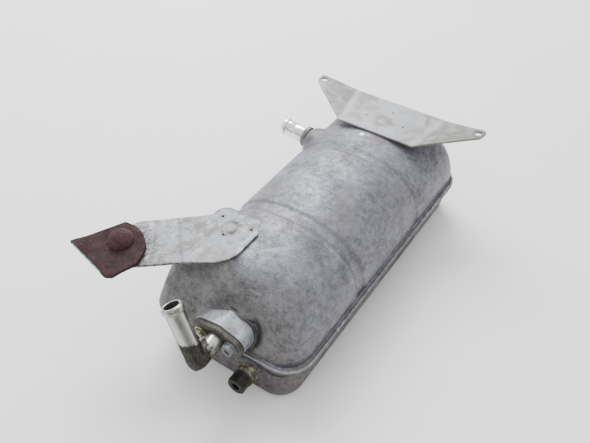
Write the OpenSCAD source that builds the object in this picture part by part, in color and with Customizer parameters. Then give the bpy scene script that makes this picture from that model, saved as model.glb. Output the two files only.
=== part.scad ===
// Flow-through expansion vessel of a hot-water circuit: a pressed upper shell closed by a lower pan,
// with a flanged outlet and a drain plug at the front, an inlet stub at the rear left and two brackets.
// The origin is the middle of the pan's flat floor. The front faces -Y and the crown +Z.

/* [Shells] */
// Half width of the upper shell at the seam
shell_half_w = 66; // [62:1:67]
// Distance from the origin to the front of the upper shell, at the seam
front_y = 141; // [138:1:142]
// Distance from the origin to the rear of the upper shell
rear_y = 140; // [136:1:142]
// Height of the seam above the pan's floor
seam_z = 37; // [36:1:38]
// Height of the crown above the pan's floor
crown_z = 92; // [90:1:95]
// Thickness of both pressed shells
wall = 2; // [1.5:0.1:2.2]
// Exponent of the superellipse that the arched section follows
arch_p = 2.3; // [2:0.1:2.6]
// Angle by which the front face leans back
front_lean = 21; // [16:1:24]

/* [Seam] */
// Half width over the rolled seam
rim_half_w = 70; // [69.5:0.5:72]
// Distance from the origin to the front of the seam
rim_front_y = 144.5; // [144:0.5:145]
// Distance from the origin to the rear of the seam
rim_rear_y = 146; // [145:0.5:148]
// Corner radius of the seam in plan
rim_corner_r = 24; // [22:1:26]

/* [Outlet port] */
// Sideways place of the port's centre
port_x = 4; // [2:0.5:5]
// Height of the port's centre
port_z = 52.2; // [52.2:0.1:53]
// Distance from the port's centre to each flange bolt
bolt_offset = 13.7; // [13.7:0.1:15]
// Angle by which the two bolts' line is turned
port_turn = 3; // [0:1:6]
// Outer radius of the hose pipe
outlet_r = 7.5; // [7:0.1:7.5]
// Length of the upright leg of the outlet elbow, on its axis
outlet_leg = 47; // [44:1:50]

/* [Drain] */
// Sideways place of the drain
drain_x = 28.5; // [24:0.5:30]
// Height of the drain's axis
drain_z = 25; // [22:0.5:25]
// Width across the flats of the drain plug's head
plug_flats = 14; // [12:1:15]

/* [Inlet] */
// Outer radius of the inlet pipe
inlet_r = 8; // [7:0.1:8.2]
// Place of the inlet pipe along the vessel
inlet_y = 77; // [74:1:80]
// Height of the inlet pipe's axis at the stub's face
inlet_z = 68; // [66:1:70]
// Upward angle of the inlet pipe
inlet_tilt = 6; // [2:1:10]

/* [Brackets] */
// Thickness of the bracket sheets
sheet = 2; // [1.5:0.1:2.5]
// Distance between the two fixing holes of the rear bracket, before its wings are bent
bracket_holes = 164; // [158:1:166]
// Radius of the fixing holes
fix_hole_r = 3.3; // [3:0.1:3.6]
// Upward angle of the rear bracket's wings
wing_angle = 6; // [2:1:9]
// Thickness of the steel end plate on the front strap
end_plate_t = 3; // [2.5:0.5:4]

/* [Hidden] */
$fn = 64;
arch_h = crown_z - seam_z;
nose_r = 22;          // rounding of the front face's edge
tail_r = 14;          // rounding of the rear face's edge
band_y = [-50, 50];   // front edge of each swaged band
band_w = [12, 9];     // width of each band
band_d = [2, 1.5];    // depth of each band
gap = 0.3;            // clearance between sheet parts that don't touch
slice = 0.3;          // thickness of the slices that a rounded form is stretched over
foot_t = 1.2;           // thickness of the upper shell's turned-out foot
gasket_t = 0.6;
lip_t = 2.4;          // thickness of the rolled lip
lip_top = seam_z + 2.4;
ledge_t = 1.6;
ledge_z = seam_z - foot_t - gasket_t;
pan_half_w = 60.5;    // half width of the pan's floor
pan_half_l = 144;     // half length of the pan
pan_corner_r = 20;
boss_top = 91.8;      // flat under the front strap
port_face = 148;     // front of the port block
oval_mid_r = 12.4;
oval_ear_r = 9.3;
port_gasket_t = 1;
flange_t = 4;
flange_front = port_face + port_gasket_t + flange_t;
elbow_y = 174.5;        // place of the elbow's corner on the port's axis
outlet_bore = outlet_r - 1.5;
leg_dir = [-0.475, 0.11, 0.873];
boss_r = 8.4;
drain_face = 153.5;
washer_t = 1.6;
plug_r = 5;
shank = 10;           // length of the drain plug's thread, under its flange
crease = [-58.6, -113.1]; // point on the front strap's bend line
crease_angle = 3;
strap_weld = [-30.6, -85.1];
rivet = [-91.1, -143.6]; // place of the rivet in the strap's flat pattern

// Half of a superellipse, from the right foot over the crown to the left foot
function arch_points(half_w, height, steps = 40) =
  [for (i = [0 : steps]) let (a = 180 * i / steps)
    [half_w * sign(cos(a)) * pow(abs(cos(a)), 2 / arch_p), height * pow(sin(a), 2 / arch_p)]];

// How far a rounded edge of radius r has drawn in at depth d behind the face
function round_inset(r, d) = r - sqrt(r * r - pow(r - d, 2));

// Point where a line from p touches a circle; side picks which of the two
function tangent(p, c, r, side) =
  let (v = p - c, a = atan2(v[1], v[0]) + side * acos(r / norm(v))) c + r * [cos(a), sin(a)];

// An upright slice of the arched section, from y forwards to y + length
module arch_slice(y, length, inset = 0) {
  translate([0, y + length, seam_z]) rotate([90, 0, 0]) linear_extrude(length)
    polygon(arch_points(shell_half_w - inset, arch_h - inset));
}

// The leaning, round-edged front of the shell, back to the first band
module nose(inset) {
  hull() {
    for (k = [0, 0.08, 0.3, 1]) {
      drawn = inset + round_inset(nose_r, k * nose_r);
      translate([0, -front_y + inset + k * nose_r, seam_z]) rotate([90 - front_lean, 0, 0])
        translate([0, 0, -slice]) linear_extrude(slice)
          polygon(arch_points(shell_half_w - drawn, arch_h / cos(front_lean) - drawn));
    }
    arch_slice(band_y[0] - 1 - inset, 1, inset);
  }
}

module tail(inset) {
  hull() {
    for (k = [0, 0.1, 0.4, 1])
      arch_slice(rear_y - inset - k * tail_r - slice, slice, inset + round_inset(tail_r, k * tail_r));
    arch_slice(band_y[1] + band_w[1] + inset, 1, inset);
  }
}

// Raised flat under the front strap
module strap_boss(inset) {
  hull() {
    translate([0, 0, boss_top - inset - 1]) linear_extrude(1)
      for (p = [[-46.6, -74.1], [-46.6, -108.1], [-18.6, -72.1], [-18.6, -108.1]])
        translate(p) circle(9 - inset, $fn = 32);
    translate([0, 0, 50]) linear_extrude(1)
      for (p = [[-51, -72], [-51, -123], [-14, -72], [-14, -121]]) translate(p) circle(14 - inset, $fn = 32);
  }
}

// Frame of the inlet: +Z runs outwards along the pipe from the stub's face
module inlet_frame() {
  translate([-68, inlet_y, inlet_z]) rotate([0, -90 + inlet_tilt, 0]) children();
}

// Pocket pressed out of the left side, round in plan and domed, that the inlet pipe leaves
module pocket(inset) {
  pocket_r = 15 - inset;
  centre = [-52.2, inlet_y - 1];
  top = inlet_z - 5.5;
  translate([centre[0], centre[1], seam_z]) cylinder(h = top - seam_z, r = pocket_r);
  translate([centre[0], centre[1], top]) sphere(pocket_r);
}

// The whole shell, drawn in by inset; a band's steps move apart by it, so the wall keeps its thickness
module shell_form(inset) {
  middle_y = band_y[0] + band_w[0] + inset;
  nose(inset);
  for (b = [0, 1]) arch_slice(band_y[b] - 0.5 - inset, band_w[b] + 1 + 2 * inset, inset + band_d[b]);
  arch_slice(middle_y, band_y[1] - inset - middle_y, inset);
  tail(inset);
  strap_boss(inset);
  pocket(inset);
}

// Plan of the seam, drawn in by o
module seam_plan(o) {
  r = rim_corner_r - o;
  x = rim_half_w - o - r;
  y0 = -rim_front_y + o + r;
  y1 = rim_rear_y - o - r;
  translate([-x - r, y0]) square([2 * (x + r), y1 - y0]);
  translate([-x, y0 - r]) square([2 * x, y1 - y0 + 2 * r]);
  for (c = [[-x, y0], [x, y0], [-x, y1], [x, y1]]) translate(c) circle(r);
}

// Frame of the port: the 2D shape's x runs along the bolts' line, and +Z comes out of the front
module port_frame(y) {
  translate([port_x, -y, port_z]) rotate([90, port_turn, 0]) children();
}

// Oval of a two-bolt flange: a middle circle, two ears and their tangents
module oval(grow = 0) {
  mid_r = oval_mid_r + grow;
  ear_r = oval_ear_r + grow;
  a = acos((mid_r - ear_r) / bolt_offset);
  ear = [bolt_offset + ear_r * cos(a), ear_r * sin(a)];
  mid = [mid_r * cos(a), mid_r * sin(a)];
  circle(mid_r);
  for (s = [-1, 1]) translate([s * bolt_offset, 0]) circle(ear_r);
  polygon([ear, mid, [-mid[0], mid[1]], [-ear[0], ear[1]], [-ear[0], -ear[1]], [-mid[0], -mid[1]],
           [mid[0], -mid[1]], [ear[0], -ear[1]]]);
}

// The same oval, larger by grow, with straight facets
module oval_opening(grow) {
  hull() {
    circle(oval_mid_r + grow, $fn = 32);
    for (s = [-1, 1]) translate([s * bolt_offset, 0]) circle(oval_ear_r + grow, $fn = 32);
  }
}

module upper_shell() {
  color([0.66, 0.66, 0.67]) difference() {
    union() {
      shell_form(0);
      translate([0, 0, seam_z - foot_t]) linear_extrude(foot_t + 0.1) seam_plan(lip_t + 0.2);
    }
    shell_form(wall);
    translate([0, 0, seam_z - foot_t - 1]) linear_extrude(foot_t + 1.01)
      translate([-shell_half_w + wall, -front_y + wall])
        square([2 * (shell_half_w - wall), front_y + rear_y - 2 * wall]);
    port_frame(110) linear_extrude(45) oval_opening(gap);
    inlet_frame() cylinder(h = 20, r = inlet_r + 0.1, center = true);
  }
}

// Drafted pan body, drawn in by inset, open at the top when it is the hollow
module pan_form(inset, top) {
  hull() {
    for (s = [[inset, 2.5], [2.5 + inset, 0.2], [top - slice, 0]])
      translate([0, 0, s[0]]) linear_extrude(slice)
        for (x = [-1, 1]) for (y = [-1, 1])
          translate([x * (pan_half_w + s[0] / 6 - s[1] - pan_corner_r), y * (pan_half_l - s[1] - pan_corner_r)])
            circle(pan_corner_r - inset, $fn = 32);
  }
}

module lower_shell() {
  color([0.42, 0.4, 0.42]) difference() {
    union() {
      pan_form(0, ledge_z);
      translate([0, 0, ledge_z - ledge_t]) linear_extrude(lip_top - ledge_z + ledge_t) seam_plan(0);
    }
    pan_form(wall, ledge_z + 0.1);
    translate([0, 0, ledge_z]) linear_extrude(20) seam_plan(lip_t);
    translate([drain_x, -130, drain_z]) rotate([90, 0, 0]) cylinder(h = 30, r = boss_r + 0.1);
  }
}

module seam_gasket() {
  color([0.12, 0.12, 0.12]) translate([0, 0, ledge_z]) linear_extrude(gasket_t) difference() {
    seam_plan(lip_t + 0.05);
    seam_plan(lip_t + 3);
  }
}

// Flow baffle held by a swaged band, with passages and a drain notch at its foot
module baffle(b) {
  inset = wall + band_d[b] + gap;
  foot_w = pan_half_w - 3.5;
  color([0.6, 0.6, 0.62]) translate([0, band_y[b] + band_w[b] / 2 + 0.75, seam_z]) rotate([90, 0, 0])
    linear_extrude(1.5) difference() {
      polygon(concat(arch_points(shell_half_w - inset, arch_h - inset),
                     [[-foot_w, wall + gap - seam_z], [foot_w, wall + gap - seam_z]]));
      for (x = [-30, 0, 30]) translate([x, 8]) circle(10);
      translate([0, -seam_z]) circle(12);
    }
}

module front_baffle() { baffle(0); }
module rear_baffle() { baffle(1); }

module port_block() {
  color([0.8, 0.8, 0.8]) difference() {
    port_frame(116) linear_extrude(port_face - 116) oval();
    port_frame(110) cylinder(h = 50, r = outlet_bore);
    for (s = [-1, 1])
      port_frame(port_face - 14) translate([s * bolt_offset, 0, 0]) cylinder(h = 20, r = 3.05);
  }
}

// Fillet of weld where the block comes through the leaning front face
module port_weld() {
  color([0.5, 0.5, 0.5]) intersection() {
    port_frame(120) linear_extrude(25) difference() {
      oval(2.2);
      oval(0.05);
    }
    translate([-50, -front_y, seam_z]) rotate([-front_lean, 0, 0])
      translate([0, -1.4, 2.5]) cube([100, 1.35, 50]);
  }
}

module port_gasket() {
  color([0.1, 0.1, 0.1]) port_frame(port_face) linear_extrude(port_gasket_t) difference() {
    oval(-0.4);
    circle(outlet_bore);
    for (s = [-1, 1]) translate([s * bolt_offset, 0]) circle(3.2);
  }
}

module port_flange() {
  color([0.32, 0.26, 0.25]) port_frame(port_face + port_gasket_t) linear_extrude(flange_t) difference() {
    oval();
    circle(outlet_r + 0.05);
    for (s = [-1, 1]) translate([s * bolt_offset, 0]) circle(3.3);
  }
}

// Turns +Z onto the direction v
module aim(v) {
  rotate([0, acos(v[2] / norm(v)), atan2(v[1], v[0])]) children();
}

// Solid of radius r along both legs of the elbow, with a knuckle where they meet: root is the place
// where the first leg starts, and tip the length of the second from the corner
module bent_rod(r, root, tip) {
  corner = [port_x, -elbow_y, port_z];
  translate([port_x, -root, port_z]) rotate([90, 0, 0]) cylinder(h = elbow_y - root, r = r);
  translate(corner) sphere(r + 0.1);
  translate(corner) aim(leg_dir) cylinder(h = tip, r = r);
}

module outlet_elbow() {
  color([0.72, 0.71, 0.62]) difference() {
    bent_rod(outlet_r, port_face + port_gasket_t + 0.1, outlet_leg);
    bent_rod(outlet_bore, port_face, outlet_leg + 1);
  }
}

// Rolled bead round a pipe of radius r, from z = 0 to z = length
module bead(r, length) {
  rotate_extrude() {
    translate([r, 0]) square([0.5, length]);
    translate([r, 0]) polygon([[0, 0.6], [0.9, 1.2], [0.9, length - 1.2], [0, length - 0.6]]);
  }
}

module outlet_bead() {
  v = leg_dir / norm(leg_dir);
  color([0.78, 0.77, 0.68]) translate([port_x, -elbow_y, port_z] + (outlet_leg - 6) * v)
    aim(v) bead(outlet_r, 5.5);
}

// Flanged hexagon bolt with a hollow in its head; z = 0 is the face it bears on
module flange_bolt() {
  difference() {
    union() {
      cylinder(h = 1.2, r = 6);
      cylinder(h = 5, r = 5.5, $fn = 6);
    }
    translate([0, 0, 3.5]) cylinder(h = 5, r = 2.4);
  }
  translate([0, 0, -16]) cylinder(h = 16.1, r = 3);
}

module flange_bolt_right() {
  color([0.5, 0.52, 0.52]) port_frame(flange_front) translate([bolt_offset, 0, 0]) flange_bolt();
}

module flange_bolt_left() {
  color([0.72, 0.66, 0.4]) port_frame(flange_front) translate([-bolt_offset, 0, 0]) flange_bolt();
}

// Tube that takes the outlet's water from the bottom of the pan
module pickup_tube() {
  drop = 38;
  color([0.6, 0.6, 0.62]) difference() {
    union() {
      port_frame(104) cylinder(h = 12, r = outlet_r);
      translate([port_x, -104, port_z - drop]) cylinder(h = drop + outlet_r + 1, r = outlet_r + 1);
    }
    port_frame(104) cylinder(h = 20, r = outlet_bore);
    translate([port_x, -104, port_z - drop - 1]) cylinder(h = drop + outlet_r + 0.5, r = outlet_bore);
  }
}

// Frame of the drain: +Z comes out of the front, from the given distance
module drain_frame(y) {
  translate([drain_x, -y, drain_z]) rotate([90, 0, 0]) children();
}

module drain_boss() {
  color([0.55, 0.47, 0.33]) drain_frame(138) difference() {
    cylinder(h = drain_face - 138, r = boss_r);
    translate([0, 0, -1]) cylinder(h = 30, r = plug_r + 0.05);
  }
}

module drain_weld() {
  color([0.35, 0.33, 0.33]) drain_frame(pan_half_l + 0.02) difference() {
    rotate_extrude() polygon([[boss_r + 0.05, 0], [boss_r + 2.2, 0], [boss_r + 0.05, 2.2]]);
    translate([-20, ledge_z - ledge_t - drain_z - 0.3, -1]) cube([40, 20, 5]);
  }
}

module drain_washer() {
  color([0.3, 0.2, 0.15]) drain_frame(drain_face) difference() {
    cylinder(h = washer_t, r = 8.1);
    translate([0, 0, -1]) cylinder(h = 5, r = plug_r + 0.2);
  }
}

module drain_plug() {
  color([0.2, 0.19, 0.18]) drain_frame(drain_face + washer_t) difference() {
    union() {
      translate([0, 0, -shank]) cylinder(h = shank + 0.1, r = plug_r);
      cylinder(h = 1.5, r = 8);
      cylinder(h = 9, r = plug_flats / sqrt(3), $fn = 6);
    }
    translate([0, 0, 5]) cylinder(h = 5, r = 3.4, $fn = 6);
  }
}

module inlet_pipe() {
  color([0.85, 0.85, 0.84]) inlet_frame() difference() {
    translate([0, 0, -14]) cylinder(h = 38, r = inlet_r);
    translate([0, 0, -15]) cylinder(h = 50, r = inlet_r - 1.2);
  }
}

module inlet_bead() {
  color([0.85, 0.85, 0.84]) inlet_frame() translate([0, 0, 19]) bead(inlet_r, 4.5);
}

// Fillet of weld between the pipe and the pocket's round side
module inlet_weld() {
  color([0.55, 0.55, 0.55]) difference() {
    inlet_frame() translate([0, 0, -4]) rotate_extrude()
      polygon([[inlet_r + 0.05, 0], [inlet_r + 2.2, 0], [inlet_r + 2.2, 3.4], [inlet_r + 0.05, 5.2]]);
    pocket(-0.02);
  }
}

// Flat pattern of the rear bracket
module bracket_plan() {
  tip = [bracket_holes / 2, 133];
  tip_r = 7;
  corner = [37, 87];
  side = tangent(corner, tip, tip_r, 1);
  rear = tip + [0, tip_r];
  for (s = [-1, 1]) translate([s * tip[0], tip[1]]) circle(tip_r);
  polygon([corner, side, tip, rear, [-rear[0], rear[1]], [-tip[0], tip[1]], [-side[0], side[1]],
           [-corner[0], corner[1]]]);
}

module wing_area() { polygon([[36, 80], [47, 145], [100, 145], [100, 80]]); }

// One wing, turned up about its bend line
module wing() {
  translate([37, 87, crown_z]) rotate([0, 0, -10]) rotate([0, -wing_angle, 0]) rotate([0, 0, 10])
    translate([-37, -87, 0]) linear_extrude(sheet) intersection() {
      difference() {
        bracket_plan();
        translate([bracket_holes / 2, 133]) circle(fix_hole_r);
      }
      wing_area();
    }
}

module rear_bracket() {
  color([0.7, 0.7, 0.7]) union() {
    translate([0, 0, crown_z]) linear_extrude(sheet) difference() {
      bracket_plan();
      for (s = [0, 1]) mirror([s, 0]) wing_area();
      translate([0, 108]) circle(6.5);
      for (p = [[-19, 108], [0, 124], [19, 108]]) translate(p) circle(1.2);
    }
    wing();
    mirror([1, 0, 0]) wing();
  }
}

module rear_plug_weld() {
  color([0.6, 0.6, 0.6]) translate([0, 108, crown_z - 0.05]) cylinder(h = sheet - 0.4, r = 6.4);
}

// Flat pattern of the front strap: a rounded pad and an arm that runs out to the front left
module strap_plan() {
  polygon([[-51.6, -77.1], [-45.6, -71.1], [-14.6, -73.1], [-9.6, -78.1], [-9.6, -107.1], [-12.6, -114.1],
           [-18.6, -121.1], [-27.6, -127.1], [-46.2, -140.1], [-68.6, -157.1], [-78.6, -162.1], [-96.6, -147.1],
           [-102.6, -135.1], [-96.6, -118.1], [-81, -106.1], [-60.6, -88.6], [-54.6, -83.1]]);
}

// Bends its children down about the strap's crease
module beyond_crease(z) {
  translate([crease[0], crease[1], z]) rotate(a = crease_angle, v = [1, -1, 0])
    translate([-crease[0], -crease[1], 0]) children();
}

// Everything that lies outwards of the crease, less a margin
module outer_area(margin) {
  translate(crease) rotate(-135) translate([margin, -100]) square([200, 200]);
}

module front_strap() {
  color([0.82, 0.82, 0.8]) union() {
    translate([0, 0, boss_top]) linear_extrude(sheet) difference() {
      strap_plan();
      outer_area(0);
      translate(strap_weld) circle(6.5);
      for (p = [[-14, 7], [-1, -9], [14, 7]]) translate(strap_weld + p) circle(1.2);
    }
    beyond_crease(boss_top) linear_extrude(sheet) intersection() {
      difference() {
        strap_plan();
        translate(rivet) circle(4.1);
      }
      outer_area(-1);
    }
  }
}

module strap_plug_weld() {
  color([0.7, 0.7, 0.7]) translate([strap_weld[0], strap_weld[1], boss_top]) cylinder(h = sheet - 0.4, r = 6.4);
}

module end_plate() {
  color([0.33, 0.22, 0.21]) beyond_crease(boss_top + sheet) linear_extrude(end_plate_t) difference() {
    union() {
      intersection() {
        translate([-96.6, -157.1]) circle(31.5);
        polygon([[-106.1, -122.1], [-58.6, -122.1], [-58.6, -157.1], [-65.6, -157.1], [-118.1, -152.6]]);
      }
      polygon([[-106.1, -127.1], [-118.1, -152.6], [-126.6, -164.1], [-78.6, -175.1], [-72.6, -172.6], [-65.2, -157.1]]);
    }
    translate(rivet) circle(4.1);
  }
}

// Low-domed rivet: shank, domed head above the plate and a flat tail below the strap
module strap_rivet() {
  dome = 6.5;
  head_r = 10;
  ball_r = (head_r * head_r + dome * dome) / (2 * dome);
  color([0.38, 0.25, 0.23]) beyond_crease(boss_top) translate([rivet[0], rivet[1], 0]) {
    translate([0, 0, -2]) cylinder(h = 2, r = 7);
    cylinder(h = sheet + end_plate_t, r = 4);
    translate([0, 0, sheet + end_plate_t]) intersection() {
      translate([0, 0, dome + 1.5 - ball_r]) sphere(ball_r);
      cylinder(h = dome + 2, r = head_r);
    }
  }
}

upper_shell();
lower_shell();
seam_gasket();
front_baffle();
rear_baffle();
port_block();
port_weld();
port_gasket();
port_flange();
outlet_elbow();
outlet_bead();
flange_bolt_right();
flange_bolt_left();
pickup_tube();
drain_boss();
drain_weld();
drain_washer();
drain_plug();
inlet_pipe();
inlet_bead();
inlet_weld();
rear_bracket();
rear_plug_weld();
front_strap();
strap_plug_weld();
end_plate();
strap_rivet();
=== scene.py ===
import math
import bpy
import bmesh
import numpy as np
from mathutils import Matrix, Vector, noise


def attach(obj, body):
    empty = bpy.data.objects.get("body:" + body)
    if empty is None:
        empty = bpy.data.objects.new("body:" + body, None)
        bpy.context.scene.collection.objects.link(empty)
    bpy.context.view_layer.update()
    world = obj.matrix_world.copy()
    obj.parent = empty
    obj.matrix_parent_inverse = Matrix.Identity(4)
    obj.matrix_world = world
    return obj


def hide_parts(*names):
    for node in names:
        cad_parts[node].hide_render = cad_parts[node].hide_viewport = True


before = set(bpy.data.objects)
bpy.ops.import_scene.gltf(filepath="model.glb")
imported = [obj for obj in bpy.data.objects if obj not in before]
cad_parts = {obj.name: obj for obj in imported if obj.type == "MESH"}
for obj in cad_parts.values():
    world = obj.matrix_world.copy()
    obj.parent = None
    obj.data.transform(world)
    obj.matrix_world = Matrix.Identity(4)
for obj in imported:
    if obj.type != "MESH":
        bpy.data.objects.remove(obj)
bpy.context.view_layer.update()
mm = 0.001


def axes(x, z, at):
    # a frame with the given x and z directions and its origin at "at"
    zAxis = Vector(z).normalized()
    yAxis = zAxis.cross(Vector(x)).normalized()
    m = Matrix((yAxis.cross(zAxis), yAxis, zAxis)).transposed().to_4x4()
    m.translation = Vector(at)
    return m


def addObject(name, data):
    made = bpy.data.objects.new(name, data)
    bpy.context.scene.collection.objects.link(made)
    return made


def paintMask(mesh, name, values):
    # one value at each vertex, which the finishes read by name
    data = mesh.attributes.new(name, "FLOAT", "POINT").data
    data.foreach_set("value", np.array(values, np.float32))


def makePiece(name, verts, faces, place=None):
    mesh = bpy.data.meshes.new(name)
    mesh.from_pydata([tuple(v) for v in verts], [], faces)
    bm = bmesh.new()
    bm.from_mesh(mesh)
    bmesh.ops.remove_doubles(bm, verts=bm.verts, dist=1e-7)
    bmesh.ops.dissolve_degenerate(bm, edges=bm.edges, dist=1e-7)
    bmesh.ops.recalc_face_normals(bm, faces=bm.faces)
    bm.to_mesh(mesh)
    bm.free()
    if place is not None:
        mesh.transform(place)
    mesh.shade_smooth()
    return addObject(name, mesh)


def finishPiece(piece, body, node, slot, *finishes):
    piece.data.materials.clear()
    for finish in finishes:
        piece.data.materials.append(finish)
    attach(piece, body)
    if node:
        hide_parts(*([node] if isinstance(node, str) else node))
    return piece


def bakeModifiers(piece):
    # turns the evaluated piece into a plain mesh, with its modifiers gone
    depsgraph = bpy.context.evaluated_depsgraph_get()
    mesh = bpy.data.meshes.new_from_object(piece.evaluated_get(depsgraph))
    piece.modifiers.clear()
    piece.data = mesh
    return piece


def sharpBy(piece, degrees):
    # smooth faces, with the edges steeper than that kept sharp
    piece.data.shade_smooth()
    piece.data.set_sharp_from_angle(angle=math.radians(degrees))
    return piece


def loft(rings, closed=False, capStart=False, capEnd=False):
    # quads between rings of one length; each ring is a closed loop of points
    count = len(rings[0])
    verts = [p for ring in rings for p in ring]
    faces = []
    rows = len(rings)
    for i in range(rows if closed else rows - 1):
        for j in range(count):
            a, b = i * count, ((i + 1) % rows) * count
            k = (j + 1) % count
            faces.append((a + j, a + k, b + k, b + j))
    if capStart:
        faces.append(tuple(range(count))[::-1])
    if capEnd:
        faces.append(tuple(range((rows - 1) * count, rows * count)))
    return verts, faces


def lathe(profile, steps=64, closed=False, shape=None):
    # profile holds (radius, height); shape may turn a round ring into another outline
    rings = []
    for radius, height in profile:
        ring = []
        for i in range(steps):
            a = 2 * math.pi * i / steps
            r = shape(radius, height, a) if shape else radius
            ring.append((r * math.cos(a), r * math.sin(a), height))
        rings.append(ring)
    return loft(rings, closed, not closed, not closed)


def arcPoints(centre, radius, start, end, steps):
    return [(centre[0] + radius * math.cos(math.radians(start + (end - start) * i / steps)),
             centre[1] + radius * math.sin(math.radians(start + (end - start) * i / steps)))
            for i in range(steps + 1)]


def wobble(p, size, seed=0.0):
    # smooth noise of about -1 to 1, whose bumps are "size" metres across
    return noise.noise(Vector(p) / size + Vector((seed, seed * 1.7, -seed)))


def roundedOutline(corners, steps=6):
    # corners holds (x, y, radius); straight sides between arcs
    points = []
    count = len(corners)
    for i, (x, y, r) in enumerate(corners):
        here = Vector((x, y))
        back = (Vector(corners[i - 1][:2]) - here)
        ahead = (Vector(corners[(i + 1) % count][:2]) - here)
        half = back.angle(ahead) / 2
        reach = min(r / math.tan(half), back.length * 0.49, ahead.length * 0.49)
        if r <= 0 or half > math.radians(89.5):
            points.append(here)
            continue
        start, end = here + back.normalized() * reach, here + ahead.normalized() * reach
        for k in range(steps + 1):
            t = k / steps
            points.append(start * (1 - t) ** 2 + here * 2 * t * (1 - t) + end * t * t)
    return points


def sheetPiece(name, outline, holes, thickness, edge, pitch, bend):
    # a sheet on z = 0 with softened edges, cut into cells of "pitch" so that bend(p) can shape it
    curve = bpy.data.curves.new(name, "CURVE")
    curve.dimensions = "2D"
    curve.fill_mode = "BOTH"
    curve.extrude = thickness / 2 - edge
    curve.bevel_depth = edge
    curve.bevel_resolution = 2
    curve.offset = -edge
    for loop in [outline] + holes:
        spline = curve.splines.new("POLY")
        spline.points.add(len(loop) - 1)
        for point, (x, y) in zip(spline.points, [tuple(q)[:2] for q in loop]):
            point.co = (x, y, 0, 1)
        spline.use_cyclic_u = True
    holder = addObject(name, curve)
    mesh = bpy.data.meshes.new_from_object(holder.evaluated_get(bpy.context.evaluated_depsgraph_get()))
    bpy.data.objects.remove(holder)
    bm = bmesh.new()
    bm.from_mesh(mesh)
    bmesh.ops.remove_doubles(bm, verts=bm.verts, dist=1e-6)
    low = [min(v.co[i] for v in bm.verts) for i in range(2)]
    high = [max(v.co[i] for v in bm.verts) for i in range(2)]
    for axis in range(2):
        normal = Vector((0, 0, 0))
        normal[axis] = 1
        for k in range(1, int((high[axis] - low[axis]) / pitch) + 1):
            point = normal * (low[axis] + k * pitch)
            bmesh.ops.bisect_plane(bm, geom=bm.verts[:] + bm.edges[:] + bm.faces[:], dist=1e-7,
                                   plane_co=point, plane_no=normal)
    bmesh.ops.remove_doubles(bm, verts=bm.verts, dist=2e-6)
    bmesh.ops.recalc_face_normals(bm, faces=bm.faces)
    for v in bm.verts:
        v.co.z += thickness / 2
        v.co = bend(v.co.copy())
    bm.normal_update()
    bm.to_mesh(mesh)
    bm.free()
    return sharpBy(addObject(name, mesh), 50)


def softened(node, name, edge, segments=2):
    # a copy of a CAD node with its flat faces joined and its edges rounded
    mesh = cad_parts[node].data.copy()
    bm = bmesh.new()
    bm.from_mesh(mesh)
    bmesh.ops.remove_doubles(bm, verts=bm.verts, dist=1e-6)
    bmesh.ops.dissolve_limit(bm, angle_limit=math.radians(1), verts=bm.verts, edges=bm.edges)
    bm.to_mesh(mesh)
    bm.free()
    mesh.name = name
    piece = addObject(name, mesh)
    bevel = piece.modifiers.new("edges", "BEVEL")
    bevel.width = edge
    bevel.segments = segments
    bevel.limit_method = "ANGLE"
    bevel.angle_limit = math.radians(35)
    bevel.use_clamp_overlap = True
    bakeModifiers(piece)
    return sharpBy(piece, 40)


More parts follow.
